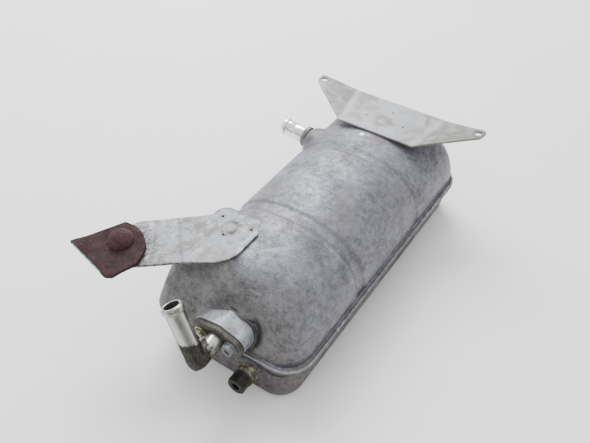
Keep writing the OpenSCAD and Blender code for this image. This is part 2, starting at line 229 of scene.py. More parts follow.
class Finish:
    # builds a material's nodes; patterns lie on Object coordinates in metres or on a painted mask
    def __init__(self, name, metallic, **shader):
        self.material = bpy.data.materials.new(name)
        self.material.use_nodes = True
        self.tree = self.material.node_tree
        self.shader = next(n for n in self.tree.nodes if n.type == "BSDF_PRINCIPLED")
        self.shader.inputs["Metallic"].default_value = metallic
        for key, value in shader.items():
            self.shader.inputs[key.replace("_", " ")].default_value = value
        self.coords = self.tree.nodes.new("ShaderNodeTexCoord").outputs["Object"]

    def add(self, kind, links=(), **settings):
        node = self.tree.nodes.new("ShaderNode" + kind)
        for key, value in settings.items():
            setattr(node, key, value)
        for key, value in dict(links).items():
            if isinstance(value, bpy.types.NodeSocket):
                self.tree.links.new(value, node.inputs[key])
            else:
                node.inputs[key].default_value = value
        return node

    def mapped(self, stretch, shift):
        return self.add("Mapping", {"Vector": self.coords, "Scale": stretch, "Location": shift}).outputs[0]

    def cloud(self, size, detail=4, rough=0.55, warp=0.0, stretch=(1, 1, 1), shift=(0, 0, 0)):
        # noise whose bumps are about "size" metres across
        return self.add("TexNoise", {"Vector": self.mapped(stretch, shift), "Scale": 1 / size,
                                     "Detail": detail,
                                     "Roughness": rough, "Distortion": warp}).outputs[0]

    def cells(self, size, shift=(0, 0, 0)):
        return self.add("TexVoronoi", {"Vector": self.mapped((1, 1, 1), shift), "Scale": 1 / size}).outputs[0]

    def band(self, source, low, high, start=0.0, end=1.0):
        # source between low and high becomes start to end, with soft ends
        node = self.add("MapRange", {"Value": source, "From Min": low, "From Max": high, "To Min": start,
                                     "To Max": end}, interpolation_type="SMOOTHSTEP")
        return node.outputs[0]

    def along(self, axis):
        return self.add("SeparateXYZ", {"Vector": self.coords}).outputs[axis]

    def near(self, point, reach):
        # 1 at the point, fading to 0 at "reach" metres
        gap = self.add("VectorMath", {0: self.coords, 1: point}, operation="DISTANCE").outputs["Value"]
        return self.band(gap, 0.0, reach, 1.0, 0.0)

    def painted(self, name):
        return self.add("Attribute", attribute_name=name).outputs["Fac"]

    def times(self, a, b):
        return self.add("Math", {0: a, 1: b}, operation="MULTIPLY").outputs[0]

    def plus(self, a, b):
        return self.add("Math", {0: a, 1: b}, operation="ADD", use_clamp=True).outputs[0]

    def ramp(self, source, *stops):
        node = self.add("ValToRGB", {"Fac": source})
        marks = node.color_ramp.elements
        while len(marks) < len(stops):
            marks.new(0.5)
        for mark, (place, colour) in zip(marks, stops):
            mark.position = place
            mark.color = (*colour, 1)
        return node.outputs["Color"]

    def tint(self, amount, under, over):
        over = over if isinstance(over, bpy.types.NodeSocket) else (*over, 1)
        return self.add("Mix", {0: amount, 6: under, 7: over}, data_type="RGBA").outputs[2]

    def done(self, colour, roughness, *bumps):
        # bumps holds (height, depth in metres, strength)
        self.tree.links.new(colour, self.shader.inputs["Base Color"])
        self.tree.links.new(roughness, self.shader.inputs["Roughness"])
        normal = None
        for height, depth, strength in bumps:
            links = {"Height": height, "Distance": depth, "Strength": strength}
            if normal:
                links["Normal"] = normal
            normal = self.add("Bump", links).outputs[0]
        if normal:
            self.tree.links.new(normal, self.shader.inputs["Normal"])
        return self.material


def oxidisedShell():
    f = Finish("oxidisedShell", 0.35)
    blotch = f.cloud(0.020, 5, 0.60, 0.6)
    mottle = f.cloud(0.0048, 5, 0.62, 0.3)
    fine = f.cloud(0.0012, 4, 0.65)
    mixed = f.plus(f.plus(f.times(blotch, 0.32), f.times(mottle, 0.36)), f.times(fine, 0.32))
    colour = f.ramp(mixed, (0.40, (0.086, 0.083, 0.092)), (0.46, (0.128, 0.126, 0.143)),
                    (0.53, (0.170, 0.169, 0.197)), (0.61, (0.245, 0.246, 0.284)))
    warm = f.band(f.cloud(0.040, 4, 0.5, 0, (1, 1, 1), (3, 1, 2)), 0.5, 0.72, 0, 0.35)
    colour = f.tint(warm, colour, (0.165, 0.150, 0.125))
    # the front face painted darker: painted shade
    shadedFront = f.painted("face")
    shadedFrontTone = f.ramp(mixed, (0.40, (0.048, 0.046, 0.042)), (0.60, (0.150, 0.146, 0.134)))
    colour = f.tint(f.times(shadedFront, 0.65), colour, shadedFrontTone)
    stain = f.times(f.painted("stain"), f.band(f.cloud(0.009, 5, 0.62), 0.46, 0.62))
    colour = f.tint(f.times(stain, 0.6), colour, (0.20, 0.16, 0.12))
    # darker in the swage grooves, beside the seam, round the port block and under the inlet pipe: painted
    # shade with some dirt
    dirtAndShade = f.painted("dirtAndShade")
    dirtShade = f.times(dirtAndShade, f.band(mottle, 0.3, 0.6, 0.5, 1.0))
    colour = f.tint(dirtShade, colour, (0.085, 0.078, 0.072))
    pits = f.band(f.cells(0.0042, (1, 2, 3)), 0.06, 0.13, 1, 0)
    patchy = f.band(f.cloud(0.022, 3, 0.5, 0, (1, 1, 1), (7, 0, 4)), 0.52, 0.62)
    pitting = f.times(pits, patchy)
    colour = f.tint(f.times(pitting, 0.7), colour, (0.07, 0.065, 0.07))
    scratchA = f.band(f.cloud(0.0016, 2, 0.5, 0, (1, 0.05, 1), (0, 5, 0)), 0.64, 0.72)
    scratchB = f.band(f.cloud(0.0018, 2, 0.5, 0, (0.06, 1, 0.4), (5, 5, 0)), 0.66, 0.74)
    scratches = f.plus(scratchA, scratchB)
    colour = f.tint(f.times(scratches, 0.22), colour, (0.38, 0.38, 0.40))
    patch = f.near((-0.009, 0.081, 0.094), 0.006)
    colour = f.tint(f.band(patch, 0.35, 0.6), colour, (0.82, 0.82, 0.82))
    rust = f.times(f.near((0.006, 0.083, 0.092), 0.010), f.band(mottle, 0.4, 0.55))
    colour = f.tint(rust, colour, (0.17, 0.085, 0.07))
    rough = f.band(mixed, 0.38, 0.6, 0.60, 0.42)
    return f.done(colour, rough, (f.cloud(0.004, 6, 0.6), 0.00022, 0.6),
                  (f.times(pitting, -1.0), 0.0003, 0.6),
                  (fine, 0.00008, 0.6))


def stainedPan():
    f = Finish("stainedPan", 0.35)
    blotch = f.cloud(0.022, 6, 0.62, 0.5)
    fine = f.cloud(0.004, 4, 0.6)
    mixed = f.plus(f.times(blotch, 0.6), f.times(fine, 0.4))
    colour = f.ramp(mixed, (0.38, (0.038, 0.033, 0.036)), (0.5, (0.078, 0.069, 0.075)),
                    (0.62, (0.140, 0.128, 0.136)))
    brown = f.band(f.cloud(0.03, 4, 0.5, 0, (1, 1, 1), (2, 2, 0)), 0.52, 0.68, 0, 0.6)
    colour = f.tint(brown, colour, (0.14, 0.10, 0.075))
    height = f.along(2)
    # the rim's top painted lighter: wear with a painted highlight
    edge = f.times(f.band(height, 0.0366, 0.0386), f.band(f.cloud(0.006, 4, 0.65), 0.40, 0.60, 0.1, 0.7))
    colour = f.tint(edge, colour, (0.27, 0.26, 0.27))
    low = f.times(f.band(height, 0.0, 0.008, 1, 0), f.band(fine, 0.4, 0.6, 0.3, 0.9))
    colour = f.tint(low, colour, (0.07, 0.06, 0.055))
    rough = f.band(mixed, 0.3, 0.7, 0.68, 0.46)
    return f.done(colour, rough, (f.cloud(0.005, 6, 0.62), 0.0003, 0.6),
                  (f.cloud(0.0009, 3, 0.6), 0.00006, 0.5))


def wornBeadWithHighlight():
    f = Finish("wornBeadWithHighlight", 0.75)
    fine = f.cloud(0.0035, 5, 0.65)
    long = f.cloud(0.03, 3, 0.5, 0.3)
    # lighter where worn, with a painted highlight round the front right corner
    corner = f.near((0.055, -0.140, 0.039), 0.075)
    wearAndHighlight = f.plus(f.times(f.band(fine, 0.44, 0.60), f.band(long, 0.42, 0.62, 0.10, 0.6)),
                  f.times(corner, 0.22))
    colour = f.tint(wearAndHighlight, f.ramp(fine, (0.35, (0.14, 0.135, 0.14)), (0.65, (0.215, 0.21, 0.22))),
                    (0.46, 0.45, 0.46))
    return f.done(colour, f.band(wearAndHighlight, 0, 1, 0.58, 0.30), (f.cloud(0.003, 5, 0.6), 0.0003, 0.7))


def castBlock():
    f = Finish("castBlock", 0.55)
    broad = f.cloud(0.012, 4, 0.5)
    colour = f.ramp(broad, (0.38, (0.26, 0.26, 0.285)), (0.60, (0.41, 0.41, 0.44)))
    pits = f.band(f.cells(0.0015, (0, 3, 1)), 0.16, 0.30, 1, 0)
    pits = f.times(pits, f.band(f.cloud(0.008, 4, 0.6), 0.40, 0.52))
    colour = f.tint(f.times(pits, 0.85), colour, (0.06, 0.055, 0.06))
    streak = f.band(f.cloud(0.003, 5, 0.65, 0, (1, 0.3, 1), (2, 2, 2)), 0.52, 0.64, 0, 0.6)
    colour = f.tint(streak, colour, (0.19, 0.19, 0.205))
    # darker where the block meets the shell: painted shade
    rootShade = f.times(f.band(f.along(1), -0.132, -0.124), f.band(f.cloud(0.004, 4, 0.6), 0.35, 0.6, 0.4, 0.9))
    colour = f.tint(rootShade, colour, (0.15, 0.14, 0.135))
    warm = f.band(f.along(2), 0.046, 0.040)
    colour = f.tint(f.times(warm, 0.35), colour, (0.62, 0.58, 0.44))
    return f.done(colour, f.band(broad, 0.35, 0.65, 0.34, 0.5), (pits, -0.0003, 0.8),
                  (f.cloud(0.0012, 4, 0.6), 0.00012, 0.6))


def rustyPlate(name, darker):
    f = Finish(name, 0.0, Specular_IOR_Level=0.18)
    broad = f.cloud(0.011, 6, 0.65, 0.6)
    fine = f.cloud(0.0014, 5, 0.7)
    mixed = f.plus(f.times(broad, 0.55), f.times(fine, 0.45))
    tones = [(0.32, (0.045, 0.022, 0.028)), (0.46, (0.110, 0.050, 0.056)), (0.58, (0.170, 0.082, 0.088)),
             (0.72, (0.25, 0.145, 0.150))]
    colour = f.ramp(mixed, *[(place, tuple(c * darker for c in tone)) for place, tone in tones])
    orange = f.band(f.cloud(0.007, 4, 0.6, 0, (1, 1, 1), (4, 0, 1)), 0.56, 0.70, 0, 0.55)
    colour = f.tint(orange, colour, tuple(c * darker for c in (0.17, 0.085, 0.060)))
    grey = f.times(f.band(fine, 0.58, 0.68), f.band(broad, 0.5, 0.6, 0, 0.5))
    colour = f.tint(grey, colour, tuple(c * darker for c in (0.34, 0.28, 0.29)))
    return f.done(colour, f.band(mixed, 0.3, 0.7, 0.9, 0.7), (broad, 0.0006, 0.5), (fine, 0.00035, 0.8))


def cutSteel():
    f = Finish("cutSteel", 0.6)
    streak = f.cloud(0.005, 4, 0.6, 0, (1, 1, 0.3))
    colour = f.ramp(streak, (0.38, (0.10, 0.14, 0.16)), (0.50, (0.20, 0.28, 0.31)),
                    (0.62, (0.42, 0.52, 0.56)))
    return f.done(colour, f.band(streak, 0.3, 0.7, 0.55, 0.3), (streak, 0.0002, 0.5))


def satinStrap():
    f = Finish("satinStrap", 0.2, Specular_IOR_Level=0.35)
    broad = f.cloud(0.022, 5, 0.55, 0.5)
    fine = f.cloud(0.0022, 5, 0.65)
    colour = f.ramp(broad, (0.38, (0.150, 0.150, 0.162)), (0.60, (0.235, 0.235, 0.255)))
    smudge = f.band(f.cloud(0.011, 5, 0.62, 0.8, (1, 1, 1), (2, 5, 0)), 0.49, 0.60, 0, 0.8)
    colour = f.tint(smudge, colour, (0.095, 0.091, 0.076))
    light = f.band(f.cloud(0.008, 5, 0.6, 0.8, (1, 1, 1), (9, 5, 2)), 0.53, 0.64, 0, 0.7)
    colour = f.tint(light, colour, (0.36, 0.36, 0.38))
    # a dark line along the crease: painted shade
    colour = f.tint(f.times(f.painted("line"), 0.75), colour, (0.07, 0.07, 0.075))
    # darker along the front edge, in the groove round the plug weld and at the small marks: dirt with painted
    # shade
    edgeDirtShade = f.times(f.painted("dirtAndShade"), f.band(fine, 0.40, 0.58))
    colour = f.tint(edgeDirtShade, colour, (0.065, 0.058, 0.054))
    speck = f.times(f.painted("speck"), f.band(fine, 0.47, 0.54))
    colour = f.tint(speck, colour, (0.050, 0.044, 0.046))
    crust = f.times(f.painted("stain"), f.band(f.cloud(0.005, 5, 0.65), 0.42, 0.60))
    colour = f.tint(f.times(crust, 0.85), colour, (0.095, 0.090, 0.078))
    return f.done(colour, f.band(broad, 0.35, 0.65, 0.36, 0.5), (f.cloud(0.012, 3, 0.5), 0.0004, 0.3),
                  (fine, 0.00012, 0.5))


def satinBracket():
    f = Finish("satinBracket", 0.3, Specular_IOR_Level=0.35)
    broad = f.cloud(0.03, 5, 0.55, 0.6)
    fine = f.cloud(0.002, 4, 0.6)
    grain = f.cloud(0.0016, 3, 0.55, 0, (0.08, 1, 1), (0, 3, 0))
    colour = f.ramp(broad, (0.38, (0.25, 0.25, 0.257)), (0.60, (0.34, 0.34, 0.352)))
    smudge = f.band(f.cloud(0.022, 5, 0.6, 0.8, (1, 1, 1), (6, 1, 0)), 0.48, 0.62, 0, 0.8)
    colour = f.tint(smudge, colour, (0.18, 0.172, 0.140))
    # the wings painted darker, as they face away from the light: painted shade
    wingShade = f.times(f.painted("wing"), f.band(f.cloud(0.018, 5, 0.6, 0.8, (1, 1, 1), (3, 3, 0)), 0.40, 0.60,
                                              0.1, 0.8))
    colour = f.tint(wingShade, colour, (0.125, 0.119, 0.094))
    # the fold lines painted lighter: painted highlight
    colour = f.tint(f.times(f.painted("foldHighlight"), 0.35), colour, (0.46, 0.46, 0.47))
    colour = f.tint(f.times(f.band(grain, 0.56, 0.68), 0.25), colour, (0.48, 0.48, 0.50))
    # darker along the front edge, round the plug weld and round the holes: dirt with painted shade at the
    # edge and in the weld's groove
    colour = f.tint(f.times(f.painted("dirtAndShade"), f.band(fine, 0.38, 0.58, 0.4, 1)), colour,
                    (0.15, 0.145, 0.14))
    marks = f.band(f.cloud(0.006, 5, 0.65, 0, (1, 1, 1), (1, 8, 0)), 0.64, 0.70, 0, 0.6)
    colour = f.tint(marks, colour, (0.22, 0.215, 0.20))
    return f.done(colour, f.band(broad, 0.35, 0.65, 0.40, 0.54), (f.cloud(0.012, 3, 0.5), 0.0004, 0.35),
                  (fine, 0.00009, 0.5))


def zincPassivate(name, tint, soot=None, reflectionStreaks=False):
    # glossy zinc plate; soot is (place, far): dirty at the place, clean past the far distance
    f = Finish(name, 0.9)
    broad = f.cloud(0.016, 4, 0.5, 0.4)
    fine = f.cloud(0.0016, 5, 0.65)
    colour = f.ramp(broad, (0.34, tuple(c * 0.82 for c in tint)), (0.62, tint))
    rainbow = f.band(f.cloud(0.012, 3, 0.5, 0.3, (1, 1, 1), (3, 3, 3)), 0.5, 0.68, 0, 0.5)
    colour = f.tint(rainbow, colour, (tint[0] * 0.92, tint[1] * 0.98, tint[2] * 0.80))
    roughness = f.band(broad, 0.3, 0.7, 0.16, 0.28)
    dull = f.band(fine, 0.60, 0.70, 0, 0.6)
    colour = f.tint(dull, colour, (0.30, 0.27, 0.19))
    if reflectionStreaks:
        # dark lines painted along the pipe: painted reflections
        colour = f.tint(f.times(f.painted("streak"), 0.8), colour, (0.10, 0.098, 0.088))
    if soot:
        mask = f.near(*soot)
        ragged = f.band(f.plus(mask, f.times(f.cloud(0.005, 5, 0.65), 0.6)), 0.50, 0.62)
        mottled = f.ramp(fine, (0.35, (0.012, 0.010, 0.010)), (0.55, (0.038, 0.032, 0.028)),
                         (0.74, (0.15, 0.14, 0.115)))
        colour = f.tint(f.times(ragged, 0.95), colour, mottled)
        roughness = f.plus(roughness, f.times(ragged, 0.38))
    return f.done(colour, roughness, (f.cloud(0.003, 4, 0.6), 0.00010, 0.4), (fine, 0.00006, 0.4))


def greyZinc():
    f = Finish("greyZinc", 0.55)
    fine = f.cloud(0.0015, 5, 0.65)
    broad = f.cloud(0.006, 4, 0.6)
    colour = f.ramp(broad, (0.35, (0.085, 0.098, 0.102)), (0.62, (0.20, 0.222, 0.228)))
    colour = f.tint(f.band(fine, 0.56, 0.66, 0, 0.7), colour, (0.10, 0.095, 0.085))
    return f.done(colour, f.band(fine, 0.3, 0.7, 0.42, 0.6), (fine, 0.00012, 0.6))


def yellowBoss():
    f = Finish("yellowBoss", 0.5)
    broad = f.cloud(0.007, 5, 0.6, 0.5)
    fine = f.cloud(0.0013, 5, 0.7)
    colour = f.ramp(broad, (0.36, (0.038, 0.032, 0.024)), (0.50, (0.115, 0.098, 0.068)),
                    (0.64, (0.27, 0.24, 0.175)))
    colour = f.tint(f.band(fine, 0.54, 0.64, 0, 0.8), colour, (0.05, 0.04, 0.03))
    return f.done(colour, f.band(fine, 0.3, 0.7, 0.45, 0.75), (broad, 0.0003, 0.4), (fine, 0.0002, 0.7))


def blackenedSteel(name, tone, metallic):
    f = Finish(name, metallic)
    broad = f.cloud(0.006, 5, 0.6, 0.5)
    fine = f.cloud(0.0012, 5, 0.7)
    colour = f.ramp(broad, (0.35, (0.022 * tone, 0.019 * tone, 0.017 * tone)),
                    (0.62, (0.085 * tone, 0.075 * tone, 0.063 * tone)))
    colour = f.tint(f.band(fine, 0.58, 0.68, 0, 0.55), colour, (0.22 * tone, 0.18 * tone, 0.12 * tone))
    return f.done(colour, f.band(fine, 0.3, 0.7, 0.40, 0.68), (broad, 0.0003, 0.5), (fine, 0.00018, 0.7))


def weldMetal(name, light):
    f = Finish(name, 0.5)
    broad = f.cloud(0.005, 4, 0.6, 0.4)
    fine = f.cloud(0.0012, 5, 0.7)
    colour = f.ramp(broad, (0.35, tuple(light * c for c in (0.30, 0.29, 0.28))),
                    (0.62, (light, light, light * 1.02)))
    colour = f.tint(f.band(fine, 0.55, 0.66, 0, 0.7), colour, (0.08, 0.07, 0.06))
    return f.done(colour, f.band(fine, 0.3, 0.7, 0.40, 0.62), (broad, 0.0004, 0.6), (fine, 0.00015, 0.6))


def brightPipe():
    f = Finish("brightPipe", 0.95)
    lines = f.cloud(0.0010, 3, 0.5, 0, (0.04, 1, 1), (0, 2, 0))
    broad = f.cloud(0.010, 4, 0.5)
    colour = f.ramp(broad, (0.35, (0.74, 0.74, 0.74)), (0.6, (0.90, 0.90, 0.90)))
    colour = f.tint(f.band(lines, 0.60, 0.72, 0, 0.35), colour, (0.45, 0.45, 0.46))
    spots = f.band(f.cloud(0.002, 5, 0.65), 0.62, 0.70, 0, 0.6)
    colour = f.tint(spots, colour, (0.22, 0.20, 0.18))
    return f.done(colour, f.band(broad, 0.3, 0.7, 0.16, 0.30), (lines, 0.00008, 0.5))


def sealRubber(name):
    f = Finish(name, 0.0)
    fine = f.cloud(0.0018, 4, 0.6)
    colour = f.ramp(fine, (0.35, (0.012, 0.012, 0.012)), (0.65, (0.045, 0.042, 0.040)))
    return f.done(colour, f.band(fine, 0.3, 0.7, 0.65, 0.85), (fine, 0.00012, 0.6))


def copperSeal():
    f = Finish("copperSeal", 0.6)
    fine = f.cloud(0.0015, 5, 0.65)
    colour = f.ramp(fine, (0.35, (0.020, 0.016, 0.014)), (0.65, (0.070, 0.055, 0.045)))
    return f.done(colour, f.band(fine, 0.3, 0.7, 0.45, 0.7), (fine, 0.00012, 0.6))


def insideMetal():
    f = Finish("insideMetal", 0.5)
    broad = f.cloud(0.012, 5, 0.6, 0.4)
    colour = f.ramp(broad, (0.35, (0.22, 0.22, 0.23)), (0.65, (0.42, 0.42, 0.43)))
    lime = f.band(f.cloud(0.006, 5, 0.6), 0.55, 0.7, 0, 0.7)
    colour = f.tint(lime, colour, (0.50, 0.46, 0.38))
    return f.done(colour, f.band(broad, 0.3, 0.7, 0.5, 0.7), (f.cloud(0.002, 4, 0.6), 0.0002, 0.5))


shell = {
    "halfWidth": 0.066, "seam": 0.037, "crown": 0.092, "front": -0.141, "rear": 0.140,
    "archPower": 2.3, "lean": math.radians(21), "noseRound": 0.026, "tailRound": 0.016,
    "wall": 0.002, "aroundSteps": 132, "alongPitch": 0.00125, "noseSteps": 74, "tailSteps": 44,
    "noseOrigin": -0.092, "tailOrigin": 0.112,
}


boss = {"top": 0.0918, "height": 0.0418, "left": -0.0556, "right": -0.0096, "front": -0.1171, "rear": -0.0631,
        "corner": 0.010}


def smoothMax(a, b, k):
    h = np.maximum(k - np.abs(a - b), 0) / k
    return np.maximum(a, b) + h * h * k / 4


def smoothMin(a, b, k):
    return -smoothMax(-a, -b, k)


def smoothStep(v, low, high):
    t = np.clip((v - low) / (high - low), 0, 1)
    return t * t * (3 - 2 * t)


def bandSink(y):
    # how far the two swaged bands draw the section in
    first = smoothStep(y, -0.0508, -0.0488) * (1 - smoothStep(y, -0.0400, -0.0355)) * 0.0015
    lip = np.exp(-((y + 0.0492) / 0.0011) ** 2) * 0.0009
    ridge = -np.exp(-((y + 0.0545) / 0.0020) ** 2) * 0.0005
    second = smoothStep(y, 0.0480, 0.0520) * (1 - smoothStep(y, 0.0560, 0.0610)) * 0.0010
    lines = (np.exp(-((y - 0.0505) / 0.0012) ** 2) + np.exp(-((y - 0.0580) / 0.0014) ** 2)) * 0.0005
    return first + lip + ridge + second + lines


def roundedBox(x, y, left, right, front, rear, r):
    qx = np.abs(x - (left + right) / 2) - (right - left) / 2 + r
    qy = np.abs(y - (front + rear) / 2) - (rear - front) / 2 + r
    return np.hypot(np.maximum(qx, 0), np.maximum(qy, 0)) + np.minimum(np.maximum(qx, qy), 0) - r


def bossField(x, y, z):
    # raised flat under the front strap, spreading towards its foot
    down = np.clip((boss["top"] - z) / boss["height"], 0, 1.3)
    plan = roundedBox(x, y, boss["left"] - 0.0104 * down, boss["right"] + 0.0096 * down,
                      boss["front"] - 0.0220 * down, boss["rear"] + 0.0050 * down,
                      boss["corner"] + 0.006 * down)
    return smoothMax(plan, z - boss["top"] + 0.0001, 0.004)


def seatField(x, y, z):
    # the space that the strap's pad lies in
    pad = roundedBox(x, y, -0.056, -0.0085, -0.119, -0.0695, 0.006)
    return np.maximum(pad, boss["top"] - 0.0002 - z)


pocket = {"x": -0.0522, "y": 0.076, "domeFrom": 0.0650, "radius": 0.0155}


def pocketField(x, y, z):
    # round pocket under the inlet pipe, domed on top
    up = np.maximum(z - pocket["domeFrom"], 0)
    return np.sqrt((x - pocket["x"]) ** 2 + (y - pocket["y"]) ** 2 + up ** 2) - pocket["radius"]


def shellField(p):
    x, y, z = p[..., 0], p[..., 1], p[..., 2]
    s = shell
    h = np.maximum(z - s["seam"], 0)
    sink = bandSink(y)
    q = ((np.abs(x) / (s["halfWidth"] - sink)) ** s["archPower"]
         + (h / (s["crown"] - s["seam"] - sink)) ** s["archPower"]) ** (1 / s["archPower"])
    body = (q - 1) * 0.060
    front = -(y - s["front"]) * math.cos(s["lean"]) + h * math.sin(s["lean"])
    d = smoothMax(smoothMax(body, front, s["noseRound"]), y - s["rear"], s["tailRound"])
    bossBlend = 0.003 + 0.012 * np.clip((boss["top"] - z) / 0.016, 0, 1)
    d = smoothMin(d, bossField(x, y, z), bossBlend)
    d = smoothMin(d, pocketField(x, y, z), 0.004)
    return smoothMax(d, -seatField(x, y, z), 0.0006)


port = {"x": 0.004, "z": 0.0522, "turn": math.radians(3), "halfLine": 0.0125, "round": 0.0108}


def portGap(x, z):
    # distance from the port block's side, in the plane of the front
    along, across = math.cos(port["turn"]), math.sin(port["turn"])
    u = (x - port["x"]) * along + (z - port["z"]) * across
    v = -(x - port["x"]) * across + (z - port["z"]) * along
    return np.hypot(np.maximum(np.abs(u) - port["halfLine"], 0), v) - port["round"]


def buildUpperShell():
    s = shell
    stations = []
    for i in range(s["noseSteps"]):
        a = math.radians(90 * i / s["noseSteps"])
        stations.append((s["noseOrigin"], -math.cos(a), math.sin(a)))
    middle = int((s["tailOrigin"] - s["noseOrigin"]) / s["alongPitch"])
    for i in range(middle + 1):
        stations.append((s["noseOrigin"] + i * (s["tailOrigin"] - s["noseOrigin"]) / middle, 0.0, 1.0))
    for i in range(1, s["tailSteps"] + 1):
        a = math.radians(90 - 90 * i / s["tailSteps"])
        stations.append((s["tailOrigin"], math.cos(a), math.sin(a)))
    rows, cols = len(stations), s["aroundSteps"] + 1
    st = np.array(stations)
    angles = np.pi * np.arange(cols) / s["aroundSteps"]
    origin = np.zeros((rows, cols, 3))
    origin[..., 1], origin[..., 2] = st[:, None, 0], s["seam"]
    way = np.zeros((rows, cols, 3))
    way[..., 0] = st[:, None, 2] * np.cos(angles)
    way[..., 2] = st[:, None, 2] * np.sin(angles)
    way[..., 1] = st[:, None, 1]
    low, high = np.zeros((rows, cols)), np.full((rows, cols), 0.12)
    for _ in range(30):
        half = (low + high) / 2
        outside = shellField(origin + way * half[..., None]) > 0
        high = np.where(outside, half, high)
        low = np.where(outside, low, half)
    points = origin + way * high[..., None]
    # gentle dents, then the fillet round the port block and the recess at its lower right
    flat = points.reshape(-1, 3)
    dent = np.array([wobble(p, 0.030, 3.1) * 0.00035 + wobble(p, 0.011, 8.3) * 0.00012 for p in flat])
    keep = smoothStep(flat[:, 2], s["seam"], s["seam"] + 0.006)
    flat = flat + way.reshape(-1, 3) * (dent * keep)[:, None]
    onFront = smoothStep(-flat[:, 1], 0.112, 0.122)
    fillet = (1 - smoothStep(portGap(flat[:, 0], flat[:, 2]), 0.0, 0.0070)) * onFront
    lowRight = np.clip((flat[:, 0] - 0.012) * 80 - (flat[:, 2] - 0.060) * 60, 0, 1)
    flat[:, 1] += fillet * 0.0036 * lowRight - fillet ** 2 * 0.0026 * (1 - lowRight)
    faces = []
    for i in range(rows - 1):
        for j in range(cols - 1):
            a, b = i * cols + j, (i + 1) * cols + j
            faces.append((a, a + 1, b + 1, b))
    piece = makePiece("upperShell", flat, faces)
    # outward normals, then the wall goes inwards
    bm = bmesh.new()
    bm.from_mesh(piece.data)
    top = max(bm.faces, key=lambda face: face.calc_center_median().z)
    if top.normal.z < 0:
        bmesh.ops.reverse_faces(bm, faces=bm.faces)
    bm.to_mesh(piece.data)
    bm.free()
    paintShell(piece.data)
    wall = piece.modifiers.new("wall", "SOLIDIFY")
    wall.thickness = s["wall"]
    wall.offset = -1
    bakeModifiers(piece)
    return piece


def paintShell(mesh):
    # vertex masks: dirt with painted shade in the swage grooves, beside the seam, round the port block and
    # under the inlet pipe; the front face painted darker as shade; brown stains
    p = np.zeros(len(mesh.vertices) * 3)
    mesh.vertices.foreach_get("co", p)
    p = p.reshape(-1, 3)
    x, y, z = p.T
    h = z - shell["seam"]
    side = smoothStep(np.abs(x), 0.010, 0.050)
    # dark lines in the swage grooves, darkening beside the seam, round the port block (heaviest at its lower
    # right) and under the inlet pipe: painted shade with some dirt
    line = np.exp(-((y + 0.0493) / 0.0012) ** 2) * 0.85 + np.exp(-((y + 0.0385) / 0.0020) ** 2) * 0.35
    line += np.exp(-((y - 0.0506) / 0.0014) ** 2) * 0.45 + np.exp(-((y - 0.0582) / 0.0014) ** 2) * 0.35
    near = smoothStep(-h, -0.004, -0.0005) * 0.12
    port = (1 - smoothStep(portGap(x, z), 0.0008, 0.0080)) * smoothStep(-y, 0.112, 0.122)
    corner = np.clip((x - 0.004) * 40 - (z - 0.058) * 40, 0, 1)
    port = port * (0.06 + 0.84 * corner)
    foot = smoothStep(-x, 0.040, 0.056) * np.exp(-((y - 0.070) / 0.022) ** 2) * 0.55
    dirtAndShade = np.clip(line * (0.55 + 0.45 * side) + near + port + foot, 0, 1)
    # the front face is painted darker as shade
    face = smoothStep(-(y - shell["front"]) * math.cos(shell["lean"]) + h * math.sin(shell["lean"]), -0.013,
                      -0.003)
    stain = np.clip(smoothStep(-h, -0.030, -0.004) * 0.4
                    + np.exp(-(((x + 0.01) / 0.03) ** 2 + ((y + 0.052) / 0.008) ** 2)) * 0.7
                    + np.exp(-(((x + 0.055) / 0.012) ** 2 + ((y - 0.070) / 0.014) ** 2)) * 0.8
                    + smoothStep(-x, 0.02, 0.05) * np.exp(-((y + 0.050) / 0.012) ** 2) * 0.5, 0, 1)
    for name, values in (("dirtAndShade", dirtAndShade), ("face", face), ("stain", stain)):
        paintMask(mesh, name, values)


# the pan and its rolled seam are rings of a rounded rectangle, in millimetres
pan = {
    "halfWidth": 60.5, "halfLength": 144, "corner": 20, "edge": 5.5, "wall": 2, "cornerSteps": 14,
    "longSteps": 60, "shortSteps": 24, "rimHalfWidth": 70, "rimFront": 144.5, "rimRear": 146, "rimCorner": 24,
}


def ringPoints(halfWidth, front, rear, r, z):
    k = pan["cornerSteps"]
    x, y0, y1 = halfWidth - r, -front + r, rear - r
    points = []
    for centre, start, steps, end in (((x, y1), 0, pan["shortSteps"], (-x, y1 + r)),
                                      ((-x, y1), 90, pan["longSteps"], (-x - r, y0)),
                                      ((-x, y0), 180, pan["shortSteps"], (x, y0 - r)),
                                      ((x, y0), 270, pan["longSteps"], (x + r, y1))):
        arc = arcPoints(centre, r, start, start + 90, k)
        points += arc
        last = arc[-1]
        points += [(last[0] + (end[0] - last[0]) * i / steps, last[1] + (end[1] - last[1]) * i / steps)
                   for i in range(1, steps)]
    return [(px * mm, py * mm, z * mm) for px, py in points]


def panRing(z, inset=0.0):
    return ringPoints(pan["halfWidth"] + z / 6 - inset, pan["halfLength"] - inset, pan["halfLength"] - inset,
                      max(pan["corner"] - inset, 1), z)


def rimRing(z, off):
    return ringPoints(pan["rimHalfWidth"] - off, pan["rimFront"] - off, pan["rimRear"] - off,
                      pan["rimCorner"] - off, z)


